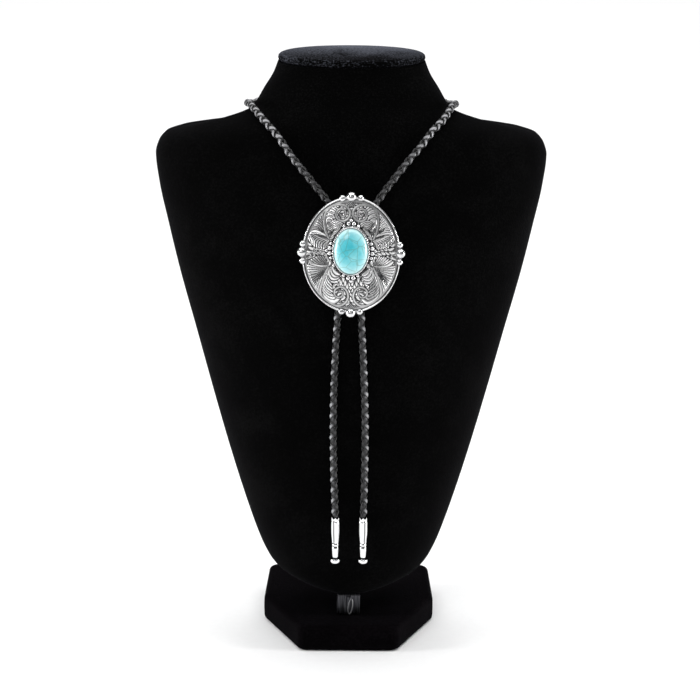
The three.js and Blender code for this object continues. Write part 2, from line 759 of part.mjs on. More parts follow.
bolo.add( named( 'bust_base', bustBase(), velvet ) );
bolo.add( named( 'bust_form', bustForm(), velvet ) );
bolo.add( named( 'bust_cap', bustCap(), velvet ) );

const bracket = named( 'bust_bracket', bustBracket(), steel );
bracket.rotation.set( Math.PI / 2, Math.PI / 2, 0 );
bracket.position.set( 0, - bracketFront, baseHeight + clearance );
bolo.add( bracket );

const slide = new THREE.Group();
slide.position.set( slideAcross, - slideReach(), slideHeight );
slide.rotation.set( ( 90 - slideLean ) * degrees, 0, slideTurn * degrees );
slide.add( named( 'slide_plate', slidePlate(), agedSilver ) );
slide.add( named( 'turquoise_stone', turquoiseStone(), turquoise ) );
slide.add( named( 'slide_clip', slideClip(), agedSilver ) );
bolo.add( slide );

bolo.add( named( 'cord', cord(), leather ) );
for ( const [ name, place ] of [ [ 'tip_left', leftTipPlace ], [ 'tip_right', rightTipPlace ] ] ) {

	const piece = named( name, tip(), brightSilver );
	piece.position.set( place[ 0 ], place[ 1 ], tipTop );
	bolo.add( piece );

}

export default bolo;
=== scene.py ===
# Bolo tie with an engraved oval slide and a turquoise cabochon, on a black velvet neck bust.
# Metres, +Z up, the front faces -Y. Sizes in the dictionaries are millimetres, turned to metres by mm.
import math
import bpy
import numpy as np
from mathutils import Matrix, Vector


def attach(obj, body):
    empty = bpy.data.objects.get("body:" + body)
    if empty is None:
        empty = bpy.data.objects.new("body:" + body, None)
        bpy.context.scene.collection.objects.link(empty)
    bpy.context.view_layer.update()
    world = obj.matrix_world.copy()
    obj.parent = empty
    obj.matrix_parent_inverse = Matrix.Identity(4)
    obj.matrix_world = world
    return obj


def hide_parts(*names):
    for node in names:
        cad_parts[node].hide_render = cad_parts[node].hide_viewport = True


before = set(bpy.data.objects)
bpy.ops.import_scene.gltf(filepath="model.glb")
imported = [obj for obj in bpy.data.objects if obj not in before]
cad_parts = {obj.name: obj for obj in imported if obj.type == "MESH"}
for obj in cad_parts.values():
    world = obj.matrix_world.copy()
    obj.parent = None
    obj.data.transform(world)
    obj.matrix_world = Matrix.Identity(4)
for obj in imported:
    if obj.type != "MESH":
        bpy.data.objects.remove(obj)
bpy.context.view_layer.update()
mm = 0.001
rest = "root"  # nothing on a bolo tie at rest is jointed, so every piece rides on one body
print("stage: frame loaded")


def hexToLinear(code):
    # sRGB hex to linear, the colour space that the shader sockets take
    parts = [int(code[i:i + 2], 16) / 255 for i in (1, 3, 5)]
    return [c / 12.92 if c <= 0.04045 else ((c + 0.055) / 1.055) ** 2.4 for c in parts] + [1]


def plug(material, node, links):
    # joins other nodes' outputs to a node's sockets
    for name, output in links.items():
        material.node_tree.links.new(output, node.inputs[name])


def addNode(material, kind, settings=(), links=()):
    # adds a node, sets its sockets and properties, and joins other nodes' outputs to it
    node = material.node_tree.nodes.new("ShaderNode" + kind)
    for name, value in dict(settings).items():
        value = hexToLinear(value) if isinstance(value, str) and value.startswith("#") else value
        if name == "stops":
            while len(node.color_ramp.elements) < len(value):
                node.color_ramp.elements.new(0.5)
            for element, (place, colour) in zip(node.color_ramp.elements, value):
                element.position = place
                element.color = hexToLinear(colour)
        elif isinstance(name, int) or name in node.inputs:
            node.inputs[name].default_value = value
        else:
            setattr(node, name, value)
    plug(material, node, dict(links))
    return node


def newMaterial(name, settings):
    # a Principled material and its shader, to which the finish's nodes are then joined
    material = bpy.data.materials.new(name)
    material.use_nodes = True
    material.node_tree.nodes.clear()
    shader = addNode(material, "BsdfPrincipled", settings)
    addNode(material, "OutputMaterial", links={"Surface": shader.outputs[0]})
    place = addNode(material, "TexCoord").outputs["Object"]
    return material, shader, place


def perMetre(size):
    # texture scale for a pattern whose real spacing is given in millimetres
    return 1 / (size * mm)


def noise(material, place, size, detail, distortion=0, wanted="Fac"):
    settings = {"Scale": perMetre(size), "Detail": detail, "Distortion": distortion}
    return addNode(material, "TexNoise", settings, {"Vector": place}).outputs[wanted]


def mapRange(material, value, start, stop, low, high):
    settings = {"From Min": start, "From Max": stop, "To Min": low, "To Max": high}
    return addNode(material, "MapRange", settings, {"Value": value}).outputs["Result"]


def mixColour(material, share, colour, added):
    return addNode(material, "Mix", {"data_type": "RGBA", 7: added}, {0: share, 6: colour}).outputs[2]


def colourRamp(material, stops, amount):
    return addNode(material, "ValToRGB", {"stops": stops}, {"Fac": amount}).outputs["Color"]


def bumpFrom(material, height, strength, depth):
    # the depth is in millimetres
    settings = {"Strength": strength, "Distance": depth * mm}
    return addNode(material, "Bump", settings, {"Height": height}).outputs["Normal"]


def pointValue(material, name):
    # the number that paintPoints has left on the piece's points
    return addNode(material, "Attribute", {"attribute_name": name}).outputs["Fac"]


def paintPoints(piece, name, values):
    layer = piece.data.attributes.new(name, "FLOAT", "POINT")
    layer.data.foreach_set("value", values.astype(np.float32))


def link(piece):
    bpy.context.scene.collection.objects.link(piece)


def meshPiece(name, points, faces, material, slot, edgeAngle=None):
    # a smooth mesh piece, with its points in millimetres
    mesh = bpy.data.meshes.new(name)
    mesh.from_pydata((points * mm).tolist(), [], faces)
    mesh.update()
    mesh.shade_smooth()
    if edgeAngle:
        mesh.set_sharp_from_angle(angle=math.radians(edgeAngle))
    piece = bpy.data.objects.new(name, mesh)
    link(piece)
    mesh.materials.append(material)
    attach(piece, rest)
    return piece


def roundAngles(count):
    return np.linspace(0, 2 * math.pi, count, endpoint=False)


def ringFaces(rows, around):
    # quads between rings of points, each ring going round the same way
    faces = []
    for i in range(rows - 1):
        for j in range(around):
            a, b = i * around + j, i * around + (j + 1) % around
            faces.append((a, b, b + around, a + around))
    return faces


def loft(rings, closed=True):
    # points and faces through a list of rings, closed by a fan at each end or left open
    around = len(rings[0])
    points = np.concatenate(rings)
    faces = ringFaces(len(rings), around)
    for ring in (0, len(rings) - 1) if closed else ():
        middle = len(points)
        points = np.concatenate([points, [rings[ring].mean(0)]])
        for j in range(around):
            a, b = ring * around + j, ring * around + (j + 1) % around
            faces.append((b, a, middle) if ring == 0 else (a, b, middle))
    return points, faces


def merged(parts):
    # several point and face lists as one
    points, faces, start = [], [], 0
    for somePoints, someFaces in parts:
        points.append(somePoints)
        faces += [tuple(i + start for i in face) for face in someFaces]
        start += len(somePoints)
    return np.concatenate(points), faces


# Camera, at the photograph's height and distance
photoView = {
    "target": (0, 0, 181.3),
    "distance": 1500,
    "elevation": 17,  # degrees above level
    "roll": 0.35,  # the photograph leans by a third of a degree
    "lens": 124.4,
}


def placeCamera():
    data = bpy.data.cameras.new("photoCamera")
    data.lens = photoView["lens"]
    camera = bpy.data.objects.new("photoCamera", data)
    link(camera)
    tilt = math.radians(photoView["elevation"])
    away = Vector((0, -math.cos(tilt), math.sin(tilt)))
    camera.location = (Vector(photoView["target"]) + away * photoView["distance"]) * mm
    roll = Matrix.Rotation(math.radians(photoView["roll"]), 3, "Z")
    camera.rotation_euler = (away.to_track_quat("Z", "Y").to_matrix() @ roll).to_euler()
    bpy.context.scene.camera = camera


placeCamera()
print("stage: camera placed")

# Cord: four leather laces plaited round, from the left tip up through the clip, round the neck and down again
braid = {
    "diameter": 4.7,
    "lead": 13.5,  # how far a lace goes along the cord while it turns round it once
    "laceWidth": 2.5,
    "laceThickness": 1.3,
    "weave": 0.55,  # how far a lace moves in and out as it crosses the others
    "turnOnTails": (-28, 62),  # degrees: a crossing lies 62 outwards on both, of the other hand on the left
    "turnsBetween": (0.4, 0.6),  # shares of the length, behind the neck, where one turn passes into the other
    "stepsPerLead": 20,
    "pointsRound": 10,
    "flatness": 0.8,  # power that squares the lace's section
}
# Painted highlight on the laces: on the tails their outer side, on the neck their outer and upper side, where the side
# lamps and overhead light fall; painted shade where a lace dips under and towards its edges
paintedCordLight = {
    "tailsBelow": 262,
    "onTails": 1.2,
    "onNeck": 1.5,
    "neckFrom": 275,
    "neckOver": 50,
    "leastOnNeck": 0.3,
    "alongPower": 0.22,  # how evenly a lace's painted highlight holds between the places where it dips under into painted shade
    "plainShare": 0.42,  # what a lace keeps of its painted highlight away from the lit side
    "acrossPower": 1.4,
}
cordRoute = [
    (-8.2, -65.2, 96.1), (-9.3, -65.3, 128), (-9.6, -65.4, 162), (-8.8, -65.6, 194), (-7.2, -65.5, 225),
    (-6.8, -64.6, 244.7), (-6.3, -62.8, 259.6), (-5.9, -61.3, 271.5), (-7.4, -59.9, 279.6), (-13.9, -57, 289.8),
    (-23.1, -54.4, 301), (-34.2, -50, 313.9), (-43.1, -43.6, 325.3), (-51.6, -33.5, 332.8), (-59.6, -16.3, 338.2),
    (-62.4, 0, 336.4), (-60.6, 13.9, 333.6), (-50.6, 26.1, 333.8), (-29.3, 36.1, 336), (0, 38.6, 338),
    (29.3, 36.1, 336), (50.6, 26.1, 333.8), (60.6, 13.9, 333.6), (62.5, 0, 336.4), (59.8, -16.2, 338.2),
    (53.8, -32, 332.9), (47.9, -40, 328.5), (41, -46.6, 320.7), (33.5, -50.6, 312.5), (26.2, -53.5, 303.8),
    (16.5, -56.8, 291.1), (9.3, -59.9, 279.5), (7.5, -61.3, 271), (7.1, -62.8, 259.1), (6.6, -64.6, 244.2),
    (6.4, -65.5, 225), (7.9, -65.6, 194), (9.1, -65.4, 162), (9.2, -65.3, 128), (8.6, -65.2, 96.1),
]


def smoothLine(points, spacing):
    # a centripetal Catmull-Rom line through the points, with its steps made even
    p = np.asarray(points, float)
    p = np.concatenate([[2 * p[0] - p[1]], p, [2 * p[-1] - p[-2]]])
    out = []
    for i in range(1, len(p) - 2):
        a, b, c, d = p[i - 1:i + 3]
        pairs = ((a, b), (b, c), (c, d))
        knots = np.cumsum([0] + [np.linalg.norm(v - u) ** 0.5 for u, v in pairs])
        t = np.linspace(knots[1], knots[2], 24, endpoint=False)[:, None]
        mix = lambda u, v, s, e: (e - t) / (e - s) * u + (t - s) / (e - s) * v
        first, second, third = (mix(u, v, knots[j], knots[j + 1]) for j, (u, v) in enumerate(pairs))
        lower, upper = mix(first, second, knots[0], knots[2]), mix(second, third, knots[1], knots[3])
        out.append(mix(lower, upper, knots[1], knots[2]))
    line = np.concatenate(out + [[p[-2]]])
    along = np.concatenate([[0], np.cumsum(np.linalg.norm(np.diff(line, axis=0), axis=1))])
    even = np.linspace(0, along[-1], max(2, round(along[-1] / spacing)) + 1)
    return np.stack([np.interp(even, along, line[:, k]) for k in range(line.shape[1])], 1), along[-1]


def frontedFrames(line):
    # across and outward directions along the line, carried on without twist
    ahead = np.gradient(line, axis=0)
    ahead /= np.linalg.norm(ahead, axis=1)[:, None]
    outward = np.zeros_like(line)
    outward[0] = (0, -1, 0)
    for i in range(1, len(line)):
        turn = outward[i - 1] - ahead[i] * outward[i - 1].dot(ahead[i])
        outward[i] = turn / np.linalg.norm(turn)
    return np.cross(outward, ahead), outward


def braidedLeather():
    # cowhide lace, dyed through and waxed: near black, with painted shade in the folds and a painted grey highlight
    # where a lace lies on top on the lit side
    material, shader, place = newMaterial("braidedCowhide", {
        "Roughness": 0.38, "IOR": 1.48, "Specular IOR Level": 0.3, "Coat Weight": 0.3, "Coat Roughness": 0.16,
    })
    grain = noise(material, place, 0.9, 4)  # pores are 0.2 mm, drawn coarser to show
    wear = noise(material, place, 14, 3)
    amount = addNode(material, "Math", {"operation": "MULTIPLY_ADD", 1: 0.3}, {
        0: wear, 2: pointValue(material, "rubbed"),
    })
    # the ramp runs from painted shade in the folds to a painted highlight on the lit tops
    stops = [(0.2, "#010101"), (0.42, "#0b0b0c"), (0.62, "#3b3b3d"), (1, "#98989b")]
    plug(material, shader, {
        "Base Color": colourRamp(material, stops, amount.outputs[0]),
        "Normal": bumpFrom(material, grain, 0.2, 0.12),
    })
    return material


def litSideShare(out, line):
    # how far each point of a lace faces the side lamps, or on the neck also the overhead light: its share of the
    # painted highlight
    sideways = out[:, 0] * np.sign(line[:, 0])
    started = np.clip((line[:, 2] - paintedCordLight["neckFrom"]) / paintedCordLight["neckOver"], paintedCordLight["leastOnNeck"], 1)
    onNeck = paintedCordLight["onNeck"] * ((sideways + out[:, 2]) * started)
    return np.clip(np.where(line[:, 2] < paintedCordLight["tailsBelow"], paintedCordLight["onTails"] * sideways, onNeck), 0, 1)


def makeCord():
    line, length = smoothLine(cordRoute, braid["lead"] / braid["stepsPerLead"])
    across, outward = frontedFrames(line)
    turn = np.arange(len(line)) / braid["stepsPerLead"] * 2 * math.pi
    middle = braid["diameter"] / 2 - braid["laceThickness"] / 2 - braid["weave"]
    off = math.atan2(-across[-1, 1], -outward[-1, 1])  # the untwisted frame's turn from the front at the right tip
    left, right = np.radians(braid["turnOnTails"])
    places = [0, *braid["turnsBetween"], 1]
    twist = np.interp(np.linspace(0, 1, len(line)), places, [left, left, right + off, right + off])
    parts, rubbed = [], []
    for way in (1, -1):
        for half in (0, math.pi):
            angle = way * turn + half + twist
            reach = middle + way * braid["weave"] * np.cos(2 * turn)
            out = np.cos(angle)[:, None] * outward + np.sin(angle)[:, None] * across
            lace = line + out * reach[:, None]
            heading = np.gradient(lace, axis=0)
            heading /= np.linalg.norm(heading, axis=1)[:, None]
            side = np.cross(heading, out)
            side /= np.linalg.norm(side, axis=1)[:, None]
            up = np.cross(side, heading)
            least = paintedCordLight["plainShare"]
            # painted shade where a lace dips under the others
            onTop = (0.5 + 0.5 * way * np.cos(2 * turn)) ** paintedCordLight["alongPower"]
            onTop = onTop * (least + (1 - least) * litSideShare(out, line))
            rings, shine = [], []
            for k in range(braid["pointsRound"]):
                a = k / braid["pointsRound"] * 2 * math.pi
                aside = abs(math.cos(a)) ** braid["flatness"] * math.copysign(1, math.cos(a)) * braid["laceWidth"] / 2
                # painted highlight on the lace's crown, painted shade towards its edges
                shine.append(onTop * max(0, math.sin(a)) ** paintedCordLight["acrossPower"])
                rings.append(lace + side * aside + up * (math.sin(a) * braid["laceThickness"] / 2))
            parts.append(loft(np.stack(rings, 1)))
            rubbed += [np.stack(shine, 1).ravel(), [0, 0]]
    points, faces = merged(parts)
    piece = meshPiece("leatherCord", points, faces, braidedLeather(), "braided_leather")
    paintPoints(piece, "rubbed", np.concatenate(rubbed))
    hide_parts("cord")
    return piece, line, length


cord, cordLine, cordLength = makeCord()
print("stage: cord plaited,", round(cordLength), "mm")

# Tips: turned silver ferrules, down is in millimetres below the mouth
tip = {
    "top": 95.8,
    "places": {"left": (-8.2, -65.2), "right": (8.6, -65.2)},
    "outline": [
        (0, 2.42), (0.5, 2.5), (2.2, 2.52), (2.6, 2.38), (3, 2.52), (3.5, 2.6), (9.2, 2.6), (11, 2.52),
        (13.6, 2.28), (16.5, 2.06), (16.8, 2.04), (17.1, 1.8), (17.4, 2.03), (18, 2.06), (18.6, 2.03),
        (18.9, 1.8), (19.2, 2), (22, 1.92), (23, 1.86), (25.2, 1.72), (25.9, 1.66), (26.1, 1.25), (26.5, 1.15),
        (27, 1.15), (27.3, 2.2), (27.5, 2.65), (28.3, 2.88), (29.1, 2.75), (29.8, 2.3), (30.25, 1.4), (30.4, 0.02),
    ],
    "mouthRadius": 1.9,
    "mouthDepth": 1.2,
    "grooves": [17.1, 18.9, 26.5, 27],
    "grooveReach": 0.35,
    "around": 120,
    "scallops": 6,
    "scallopDepth": 1,
    "scallopReach": 3,
    "flutes": {"left": -24, "right": 24},  # degrees from the front, and a third of a turn further each
    "fluteWidth": 0.42,
    "fluteDepth": 0.3,
    "fluteSpan": (1, 16.8),
    "edgeAngle": 38,
}


def polishedSilver(name, low, high, smoothest, roughest):
    # sterling silver, cast, then buffed or tumbled: faint hairline scratches, and patina left in the cuts
    material, shader, place = newMaterial(name, {"Metallic": 1})
    tone = noise(material, place, 5, 3)
    colour = colourRamp(material, [(0.3, low), (0.75, high)], tone)
    scratch = noise(material, place, 0.7, 2)  # buffing lines are 0.05 mm, drawn coarser to show
    plug(material, shader, {
        "Base Color": mixColour(material, pointValue(material, "patina"), colour, "#1c1c1d"),
        "Roughness": mapRange(material, tone, 0, 1, smoothest, roughest),
        "Normal": bumpFrom(material, scratch, 0.06, 0.1),
    })
    return material


buffedSilver = polishedSilver("buffedSilver", "#eeeeef", "#fbfbfc", 0.05, 0.14)
tumbledSilver = polishedSilver("tumbledSilver", "#c6c6c7", "#f3f3f4", 0.15, 0.26)


def makeTip(side):
    x, y = tip["places"][side]
    angle = roundAngles(tip["around"])
    mouth, deep = tip["mouthRadius"], np.full_like(angle, tip["top"] - tip["mouthDepth"])
    rings = [np.stack([x + mouth * np.cos(angle), y + mouth * np.sin(angle), deep], 1)]
    patina = [np.ones_like(angle)]
    fromFlute = np.radians(np.remainder(np.degrees(angle) + 90 - tip["flutes"][side] + 60, 120) - 60)
    for down, radius in tip["outline"]:
        dip = tip["scallopDepth"] * np.abs(np.cos(tip["scallops"] / 2 * angle)) * max(0, 1 - down / tip["scallopReach"])
        fluted = tip["fluteSpan"][0] < down < tip["fluteSpan"][1]
        cut = tip["fluteDepth"] * np.exp(-(fromFlute * radius / tip["fluteWidth"]) ** 2) * fluted
        wide = radius - cut
        rings.append(np.stack([x + wide * np.cos(angle), y + wide * np.sin(angle), tip["top"] - down - dip], 1))
        inGroove = max(0, 1 - min(abs(down - groove) for groove in tip["grooves"]) / tip["grooveReach"])
        patina.append(np.maximum(cut / tip["fluteDepth"], inGroove))
    piece = meshPiece("cordTip_" + side, *loft(rings[::-1]), buffedSilver, "bright_silver", tip["edgeAngle"])
    paintPoints(piece, "patina", np.concatenate(patina[::-1] + [[0, 1]]))
    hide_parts("tip_" + side)
    return piece


tips = [makeTip("left"), makeTip("right")]
print("stage: tips turned")

# Bust: each level gives shares of its height, half width, chest depth and back depth, then the back's squareness
bust = {
    "foot": 31.9,
    "height": 329.6,
    "halfWidth": 118.5,
    "chestDepth": 67.5,
    "backDepth": 31,
    "widestPlane": 5,
    "chestSquareness": 2.15,
    "levels": [
        (0, .143, .563, .5, 2), (.0035, .215, .6, .56, 2), (.011, .29, .637, .62, 2),
        (.0245, .365, .674, .68, 2.1), (.04, .415, .704, .72, 2.2), (.065, .455, .741, .76, 2.3),
        (.095, .489, .785, .79, 2.4), (.16, .549, .852, .83, 2.6), (.26, .631, .919, .88, 2.8),
        (.38, .72, .975, .93, 3), (.5, .805, 1, .97, 3), (.61, .884, .984, .985, 3), (.7, .94, .941, 1, 3),
        (.777, .984, .887, 1, 3), (.83, 1, .834, 1, 2.9), (.85, .985, .807, 1, 2.8),
        (.867, .947, .781, 1, 2.7), (.88, .877, .757, 1, 2.6), (.892, .785, .73, 1, 2.6),
        (.905, .66, .696, 1, 2.5), (.9165, .57, .661, 1, 2.4), (.927, .513, .625, 1, 2.3),
        (.94, .485, .576, .99, 2.2), (.961, .443, .513, .98, 2.1), (.982, .397, .456, .965, 2),
        (1, .373, .415, .95, 2),
    ],
    "saddle": (-14, 12),  # the shoulders sink behind the neck between these two depths
    "drops": [
        (.867, 0), (.88, .0045), (.892, .012), (.905, .0197), (.9165, .0243),
        (.927, .0243), (.94, .0212), (.961, .0121), (.982, .0045), (1, 0),
    ],
    "around": 200,
    "capGap": 0.3,
}
cap = {
    "halfWidth": 44.2,
    "frontDepth": 28,
    "backDepth": 30,
    "lip": 4.4,
    "levels": [
        (0, .34), (.06, .2), (.2, .06), (.42, 0), (.52, .03), (.56, .07), (.6, .03), (.7, .06), (.84, .2),
        (.94, .42), (1, .9),
    ],
    "topShares": (0.93, 0.8, 0.6, 0.4, 0.2, 0.06),
    "crown": 0.5,
    "squareness": 2.1,
    "sheenBack": (-14, 36),  # painted sheen: the top is painted lighter towards the back, where light grazes it, but only on the top
    "sheenTop": (364.2, 365.6),  # but only on the top
}
velvetEdge = 50  # degrees: sharper edges stay edges in the covered pieces


def signedPower(value, power):
    return np.sign(value) * np.abs(value) ** power


def ovalRing(half, front, back, frontSquare, backSquare, height, around, drop=0):
    angle = roundAngles(around)
    isFront = np.sin(angle) < 0
    power = 2 / np.where(isFront, frontSquare, backSquare)
    x = half * signedPower(np.cos(angle), power)
    y = np.where(isFront, front, back) * signedPower(np.sin(angle), power)
    near, far = bust["saddle"]
    behind = np.clip((bust["widestPlane"] + y - near) / (far - near), 0, 1)
    return np.stack([x, bust["widestPlane"] + y, height - drop * behind * behind * (3 - 2 * behind)], 1)


def blackVelvet(name, low, high, sheen, paintedSheen=0):
    # cotton velvet glued over a moulded form: swallows light face on, and the pile's tips catch it edge on
    material, shader, place = newMaterial(name, {
        "Roughness": 0.95, "IOR": 1.4, "Specular IOR Level": 0.03,
        "Sheen Weight": sheen, "Sheen Roughness": 0.42, "Sheen Tint": "#a6a4b4",
    })
    brushed = noise(material, place, 38, 5, 0.8)
    pile = noise(material, place, 1.1, 3)  # tufts are 0.3 mm, drawn coarser to show
    tone = addNode(material, "Mix", {"Factor": 0.6}, {2: brushed, 3: pile})
    axes = addNode(material, "SeparateXYZ", links={"Vector": place}).outputs
    (front, back), (lip, top) = cap["sheenBack"], cap["sheenTop"]
    # painted sheen: where paintedSheen is set, the top is painted lighter towards the back, as grazing light would
    # light it
    shine = addNode(material, "Math", {"operation": "MULTIPLY_ADD"}, {
        0: mapRange(material, axes["Y"], front * mm, back * mm, 0, paintedSheen),
        1: mapRange(material, axes["Z"], lip * mm, top * mm, 0, 1), 2: tone.outputs[0],
    })
    nap = noise(material, place, 9, 3)
    both = addNode(material, "Mix", {"Factor": 0.35}, {2: pile, 3: nap})
    plug(material, shader, {
        "Base Color": colourRamp(material, [(0.48, low), (0.62 + paintedSheen, high)], shine.outputs[0]),
        "Normal": bumpFrom(material, both.outputs[0], 0.6, 0.5),
    })
    return material


def makeBust():
    table = np.array(bust["levels"])
    steps = [np.linspace(a, b, 6, endpoint=False) for a, b in zip(table[:-1, 0], table[1:, 0])]
    up = np.concatenate(steps + [[1]])
    level = np.stack([smoothColumn(table[:, 0], table[:, k], up) for k in range(1, 5)], 1)
    drops = np.interp(up, *np.array(bust["drops"]).T) * bust["height"]
    rings = [ovalRing(
        half * bust["halfWidth"], front * bust["chestDepth"], back * bust["backDepth"],
        bust["chestSquareness"], square, bust["foot"] + u * bust["height"], bust["around"], drop,
    ) for u, (half, front, back, square), drop in zip(up, level, drops)]
    cloth = blackVelvet("velvetOnForm", "#020202", "#080808", 0.02)
    piece = meshPiece("bustForm", *loft(rings), cloth, "velvet", velvetEdge)
    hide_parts("bust_form")


def smoothColumn(x, y, at):
    # values between the table's rows, without overshoot (monotone cubic)
    step = np.diff(y) / np.diff(x)
    slope = np.zeros(len(y))
    slope[0], slope[-1] = step[0], step[-1]
    for i in range(1, len(y) - 1):
        if step[i - 1] * step[i] > 0:
            slope[i] = 2 / (1 / step[i - 1] + 1 / step[i])
    i = np.clip(np.searchsorted(x, at, side="right") - 1, 0, len(x) - 2)
    wide = x[i + 1] - x[i]
    t = (at - x[i]) / wide
    return ((1 + 2 * t) * (1 - t) ** 2 * y[i] + t * (1 - t) ** 2 * wide * slope[i]
            + t * t * (3 - 2 * t) * y[i + 1] + t * t * (t - 1) * wide * slope[i + 1])


def makeCap():
    foot = bust["foot"] + bust["height"] + bust["capGap"]
    square = cap["squareness"]

    def capRing(inset, share, height):
        sizes = [(cap[name] - inset) * share for name in ("halfWidth", "frontDepth", "backDepth")]
        return ovalRing(*sizes, square, square, height, bust["around"])

    rings = [capRing(inset * cap["lip"], 1, foot + up * cap["lip"]) for up, inset in cap["levels"]]
    inner = cap["levels"][-1][1] * cap["lip"]
    for share in cap["topShares"]:
        rings.append(capRing(inner, share, foot + cap["lip"] + cap["crown"] * (1 - share ** 2)))
    # painted sheen: the cap's pale high colour and its lift towards the back stand for light grazing the top
    cloth = blackVelvet("velvetOnCap", "#030303", "#666973", 0.02, 0.28)
    piece = meshPiece("bustCap", *loft(rings), cloth, "velvet", velvetEdge)
    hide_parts("bust_cap")


makeBust()
makeCap()
print("stage: bust and cap covered")

# Base: a padded block on a six-sided plan, and the strap bracket that carries the bust
base = {
    "height": 16.8,
    "plan": [(-30, -49), (30, -49), (54, 2), (52, 56), (-52, 56), (-54, 2)],
    "corner": 6,
    "cornerSteps": 12,
    "edge": 3.2,
    "bulge": 0.12,
    "around": 240,
}
bracket = {
    "foot": 17.1,
    "rise": 14.5,
    "width": 14.4,
    "gauge": 2,
    "flange": 26,
    "front": 32,
    "bend": 1.6,
    "crease": 0.5,
    "ribWidth": 3.6,
    "ribRise": 0.8,
    "edgeAngle": 40,
    # the loop is a painted highlight on the rib's front
    "loop": {
        "across": 1.2, "up": 6.2, "out": 0.5, "halfWidth": 1.3, "halfHeight": 5, "thickness": 0.9,
        "lean": 0.12, "steps": 56, "around": 8,
    },
}


def roundedPlan(plan, inset, corner):
    # the plan moved in by inset, its corners rounded
    sides = []
    corners = np.array(plan, float)
    for a, b in zip(corners, np.roll(corners, -1, axis=0)):
        ahead = (b - a) / np.linalg.norm(b - a)
        sides.append((a + inset * np.array((-ahead[1], ahead[0])), ahead))
    out = []
    for i, (point, ahead) in enumerate(sides):
        before, dirBefore = sides[i - 1]
        t = np.linalg.solve(np.stack([ahead, -dirBefore], 1), before - point)[0]
        bare = point + t * ahead
        bend = math.acos(np.clip(ahead.dot(dirBefore), -1, 1))
        radius = max(corner - inset * 0.5, 1)
        cut = radius * math.tan(bend / 2)
        start = bare - cut * dirBefore
        middle = start + radius * np.array((-dirBefore[1], dirBefore[0]))
        first = math.atan2(*(start - middle)[::-1])
        for k in range(base["cornerSteps"] + 1):
            angle = first + bend * k / base["cornerSteps"]
            out.append(middle + radius * np.array((math.cos(angle), math.sin(angle))))
    return np.array(out)


def spreadRing(ring, count):
    # the same closed outline with its points evenly spaced
    closed = np.concatenate([ring, ring[:1]])
    along = np.concatenate([[0], np.cumsum(np.linalg.norm(np.diff(closed, axis=0), axis=1))])
    even = np.linspace(0, along[-1], count, endpoint=False)
    return np.stack([np.interp(even, along, closed[:, k]) for k in range(2)], 1)


def makeBase():
    edge, high = base["edge"], base["height"]
    profile = [(0, 0.9 * edge), (0.02 * high, 0.45 * edge), (0.07 * high, 0.12 * edge), (0.16 * high, 0)]
    profile += [(up * high, -base["bulge"] * math.sin(math.pi * (up - 0.16) / 0.68)) for up in (0.3, 0.45, 0.6, 0.75)]
    profile += [(high - edge * (1 - math.sin(a)), edge * (1 - math.cos(a))) for a in np.linspace(0, math.pi / 2, 8)]
    profile += [(high, inset) for inset in (5, 9, 16, 26, 36)]
    rings = []
    for up, inset in profile:
        ring = spreadRing(roundedPlan(base["plan"], inset, base["corner"]), base["around"])
        rings.append(np.concatenate([ring, np.full((len(ring), 1), up)], 1))
    cloth = blackVelvet("velvetOnBase", "#030203", "#0a080a", 0.015)
    piece = meshPiece("bustBase", *loft(rings), cloth, "velvet", velvetEdge)
    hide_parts("bust_base")


def platedSteel(name, low, high):
    # mild steel strap, bent and black nickel plated: dark grey with a soft streaked shine
    material, shader, place = newMaterial(name, {"Metallic": 1, "Roughness": 0.36})
    stretch = addNode(material, "Mapping", {"Scale": (1, 1, 0.06)}, {"Vector": place})
    drawn = noise(material, stretch.outputs[0], 0.8, 3)
    plug(material, shader, {
        "Base Color": colourRamp(material, [(0.35, low), (0.68, high)], drawn),
        "Normal": bumpFrom(material, drawn, 0.15, 0.1),
    })
    return material


def makeBracket():
    # the strap's side outline is swept across its width, then a pressed rib is laid on the upright
    high, gauge, flange, front = bracket["rise"], bracket["gauge"], bracket["flange"], bracket["front"]
    bend, crease = bracket["bend"], bracket["crease"]

    def corner(cx, cz, radius, start, stop):
        angles = np.radians(np.linspace(start, stop, 6))
        return [(cx + radius * math.cos(a), cz + radius * math.sin(a)) for a in angles]

    outline = [(flange, 0)] + corner(bend, bend, bend, 270, 180) + corner(bend, high - bend, bend, 180, 90)
    outline += [(flange, high), (flange, high - gauge)]
    outline += corner(gauge + crease, high - gauge - crease, crease, 90, 180)
    outline = np.array(outline + corner(gauge + crease, gauge + crease, crease, 180, 270) + [(flange, gauge)])
    middle = outline.mean(0)
    rings = []
    for across, shrink in ((-0.5, 0.25), (-0.485, 0.06), (-0.46, 0), (0.46, 0), (0.485, 0.06), (0.5, 0.25)):
        ring = outline + shrink * np.sign(middle - outline) * 0.6
        x = np.full(len(ring), across * bracket["width"])
        rings.append(np.stack([x, ring[:, 0] - front, ring[:, 1] + bracket["foot"]], 1))
    around = len(outline)
    points, faces = np.concatenate(rings), ringFaces(len(rings), around)
    faces += [tuple(range(around))[::-1], tuple(range((len(rings) - 1) * around, len(rings) * around))]
    ribRings = []
    ends = [(0.09, 0.1), (0.11, 0.6), (0.15, 0.92), (0.2, 1)]
    for share, width in ends + [(1 - share, width) for share, width in ends[::-1]]:
        a = roundAngles(28)
        x, y = bracket["ribWidth"] / 2 * width * np.cos(a), bracket["ribRise"] * width * np.sin(a)
        ribRings.append(np.stack([x, y - front, np.full_like(x, bracket["foot"] + share * high)], 1))
    strap, edge = merged([(points, faces), loft(ribRings)]), bracket["edgeAngle"]
    piece = meshPiece("bracketStrap", *strap, platedSteel("blackedSteel", "#121214", "#545458"), "bracket_steel", edge)
    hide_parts("bust_bracket")
    # painted highlight: a light-coloured loop in front of the rib
    meshPiece("bracketHighlight", *highlightLoop(), platedSteel("highlightSteel", "#747476", "#b4b4b6"), "bracket_steel", edge)


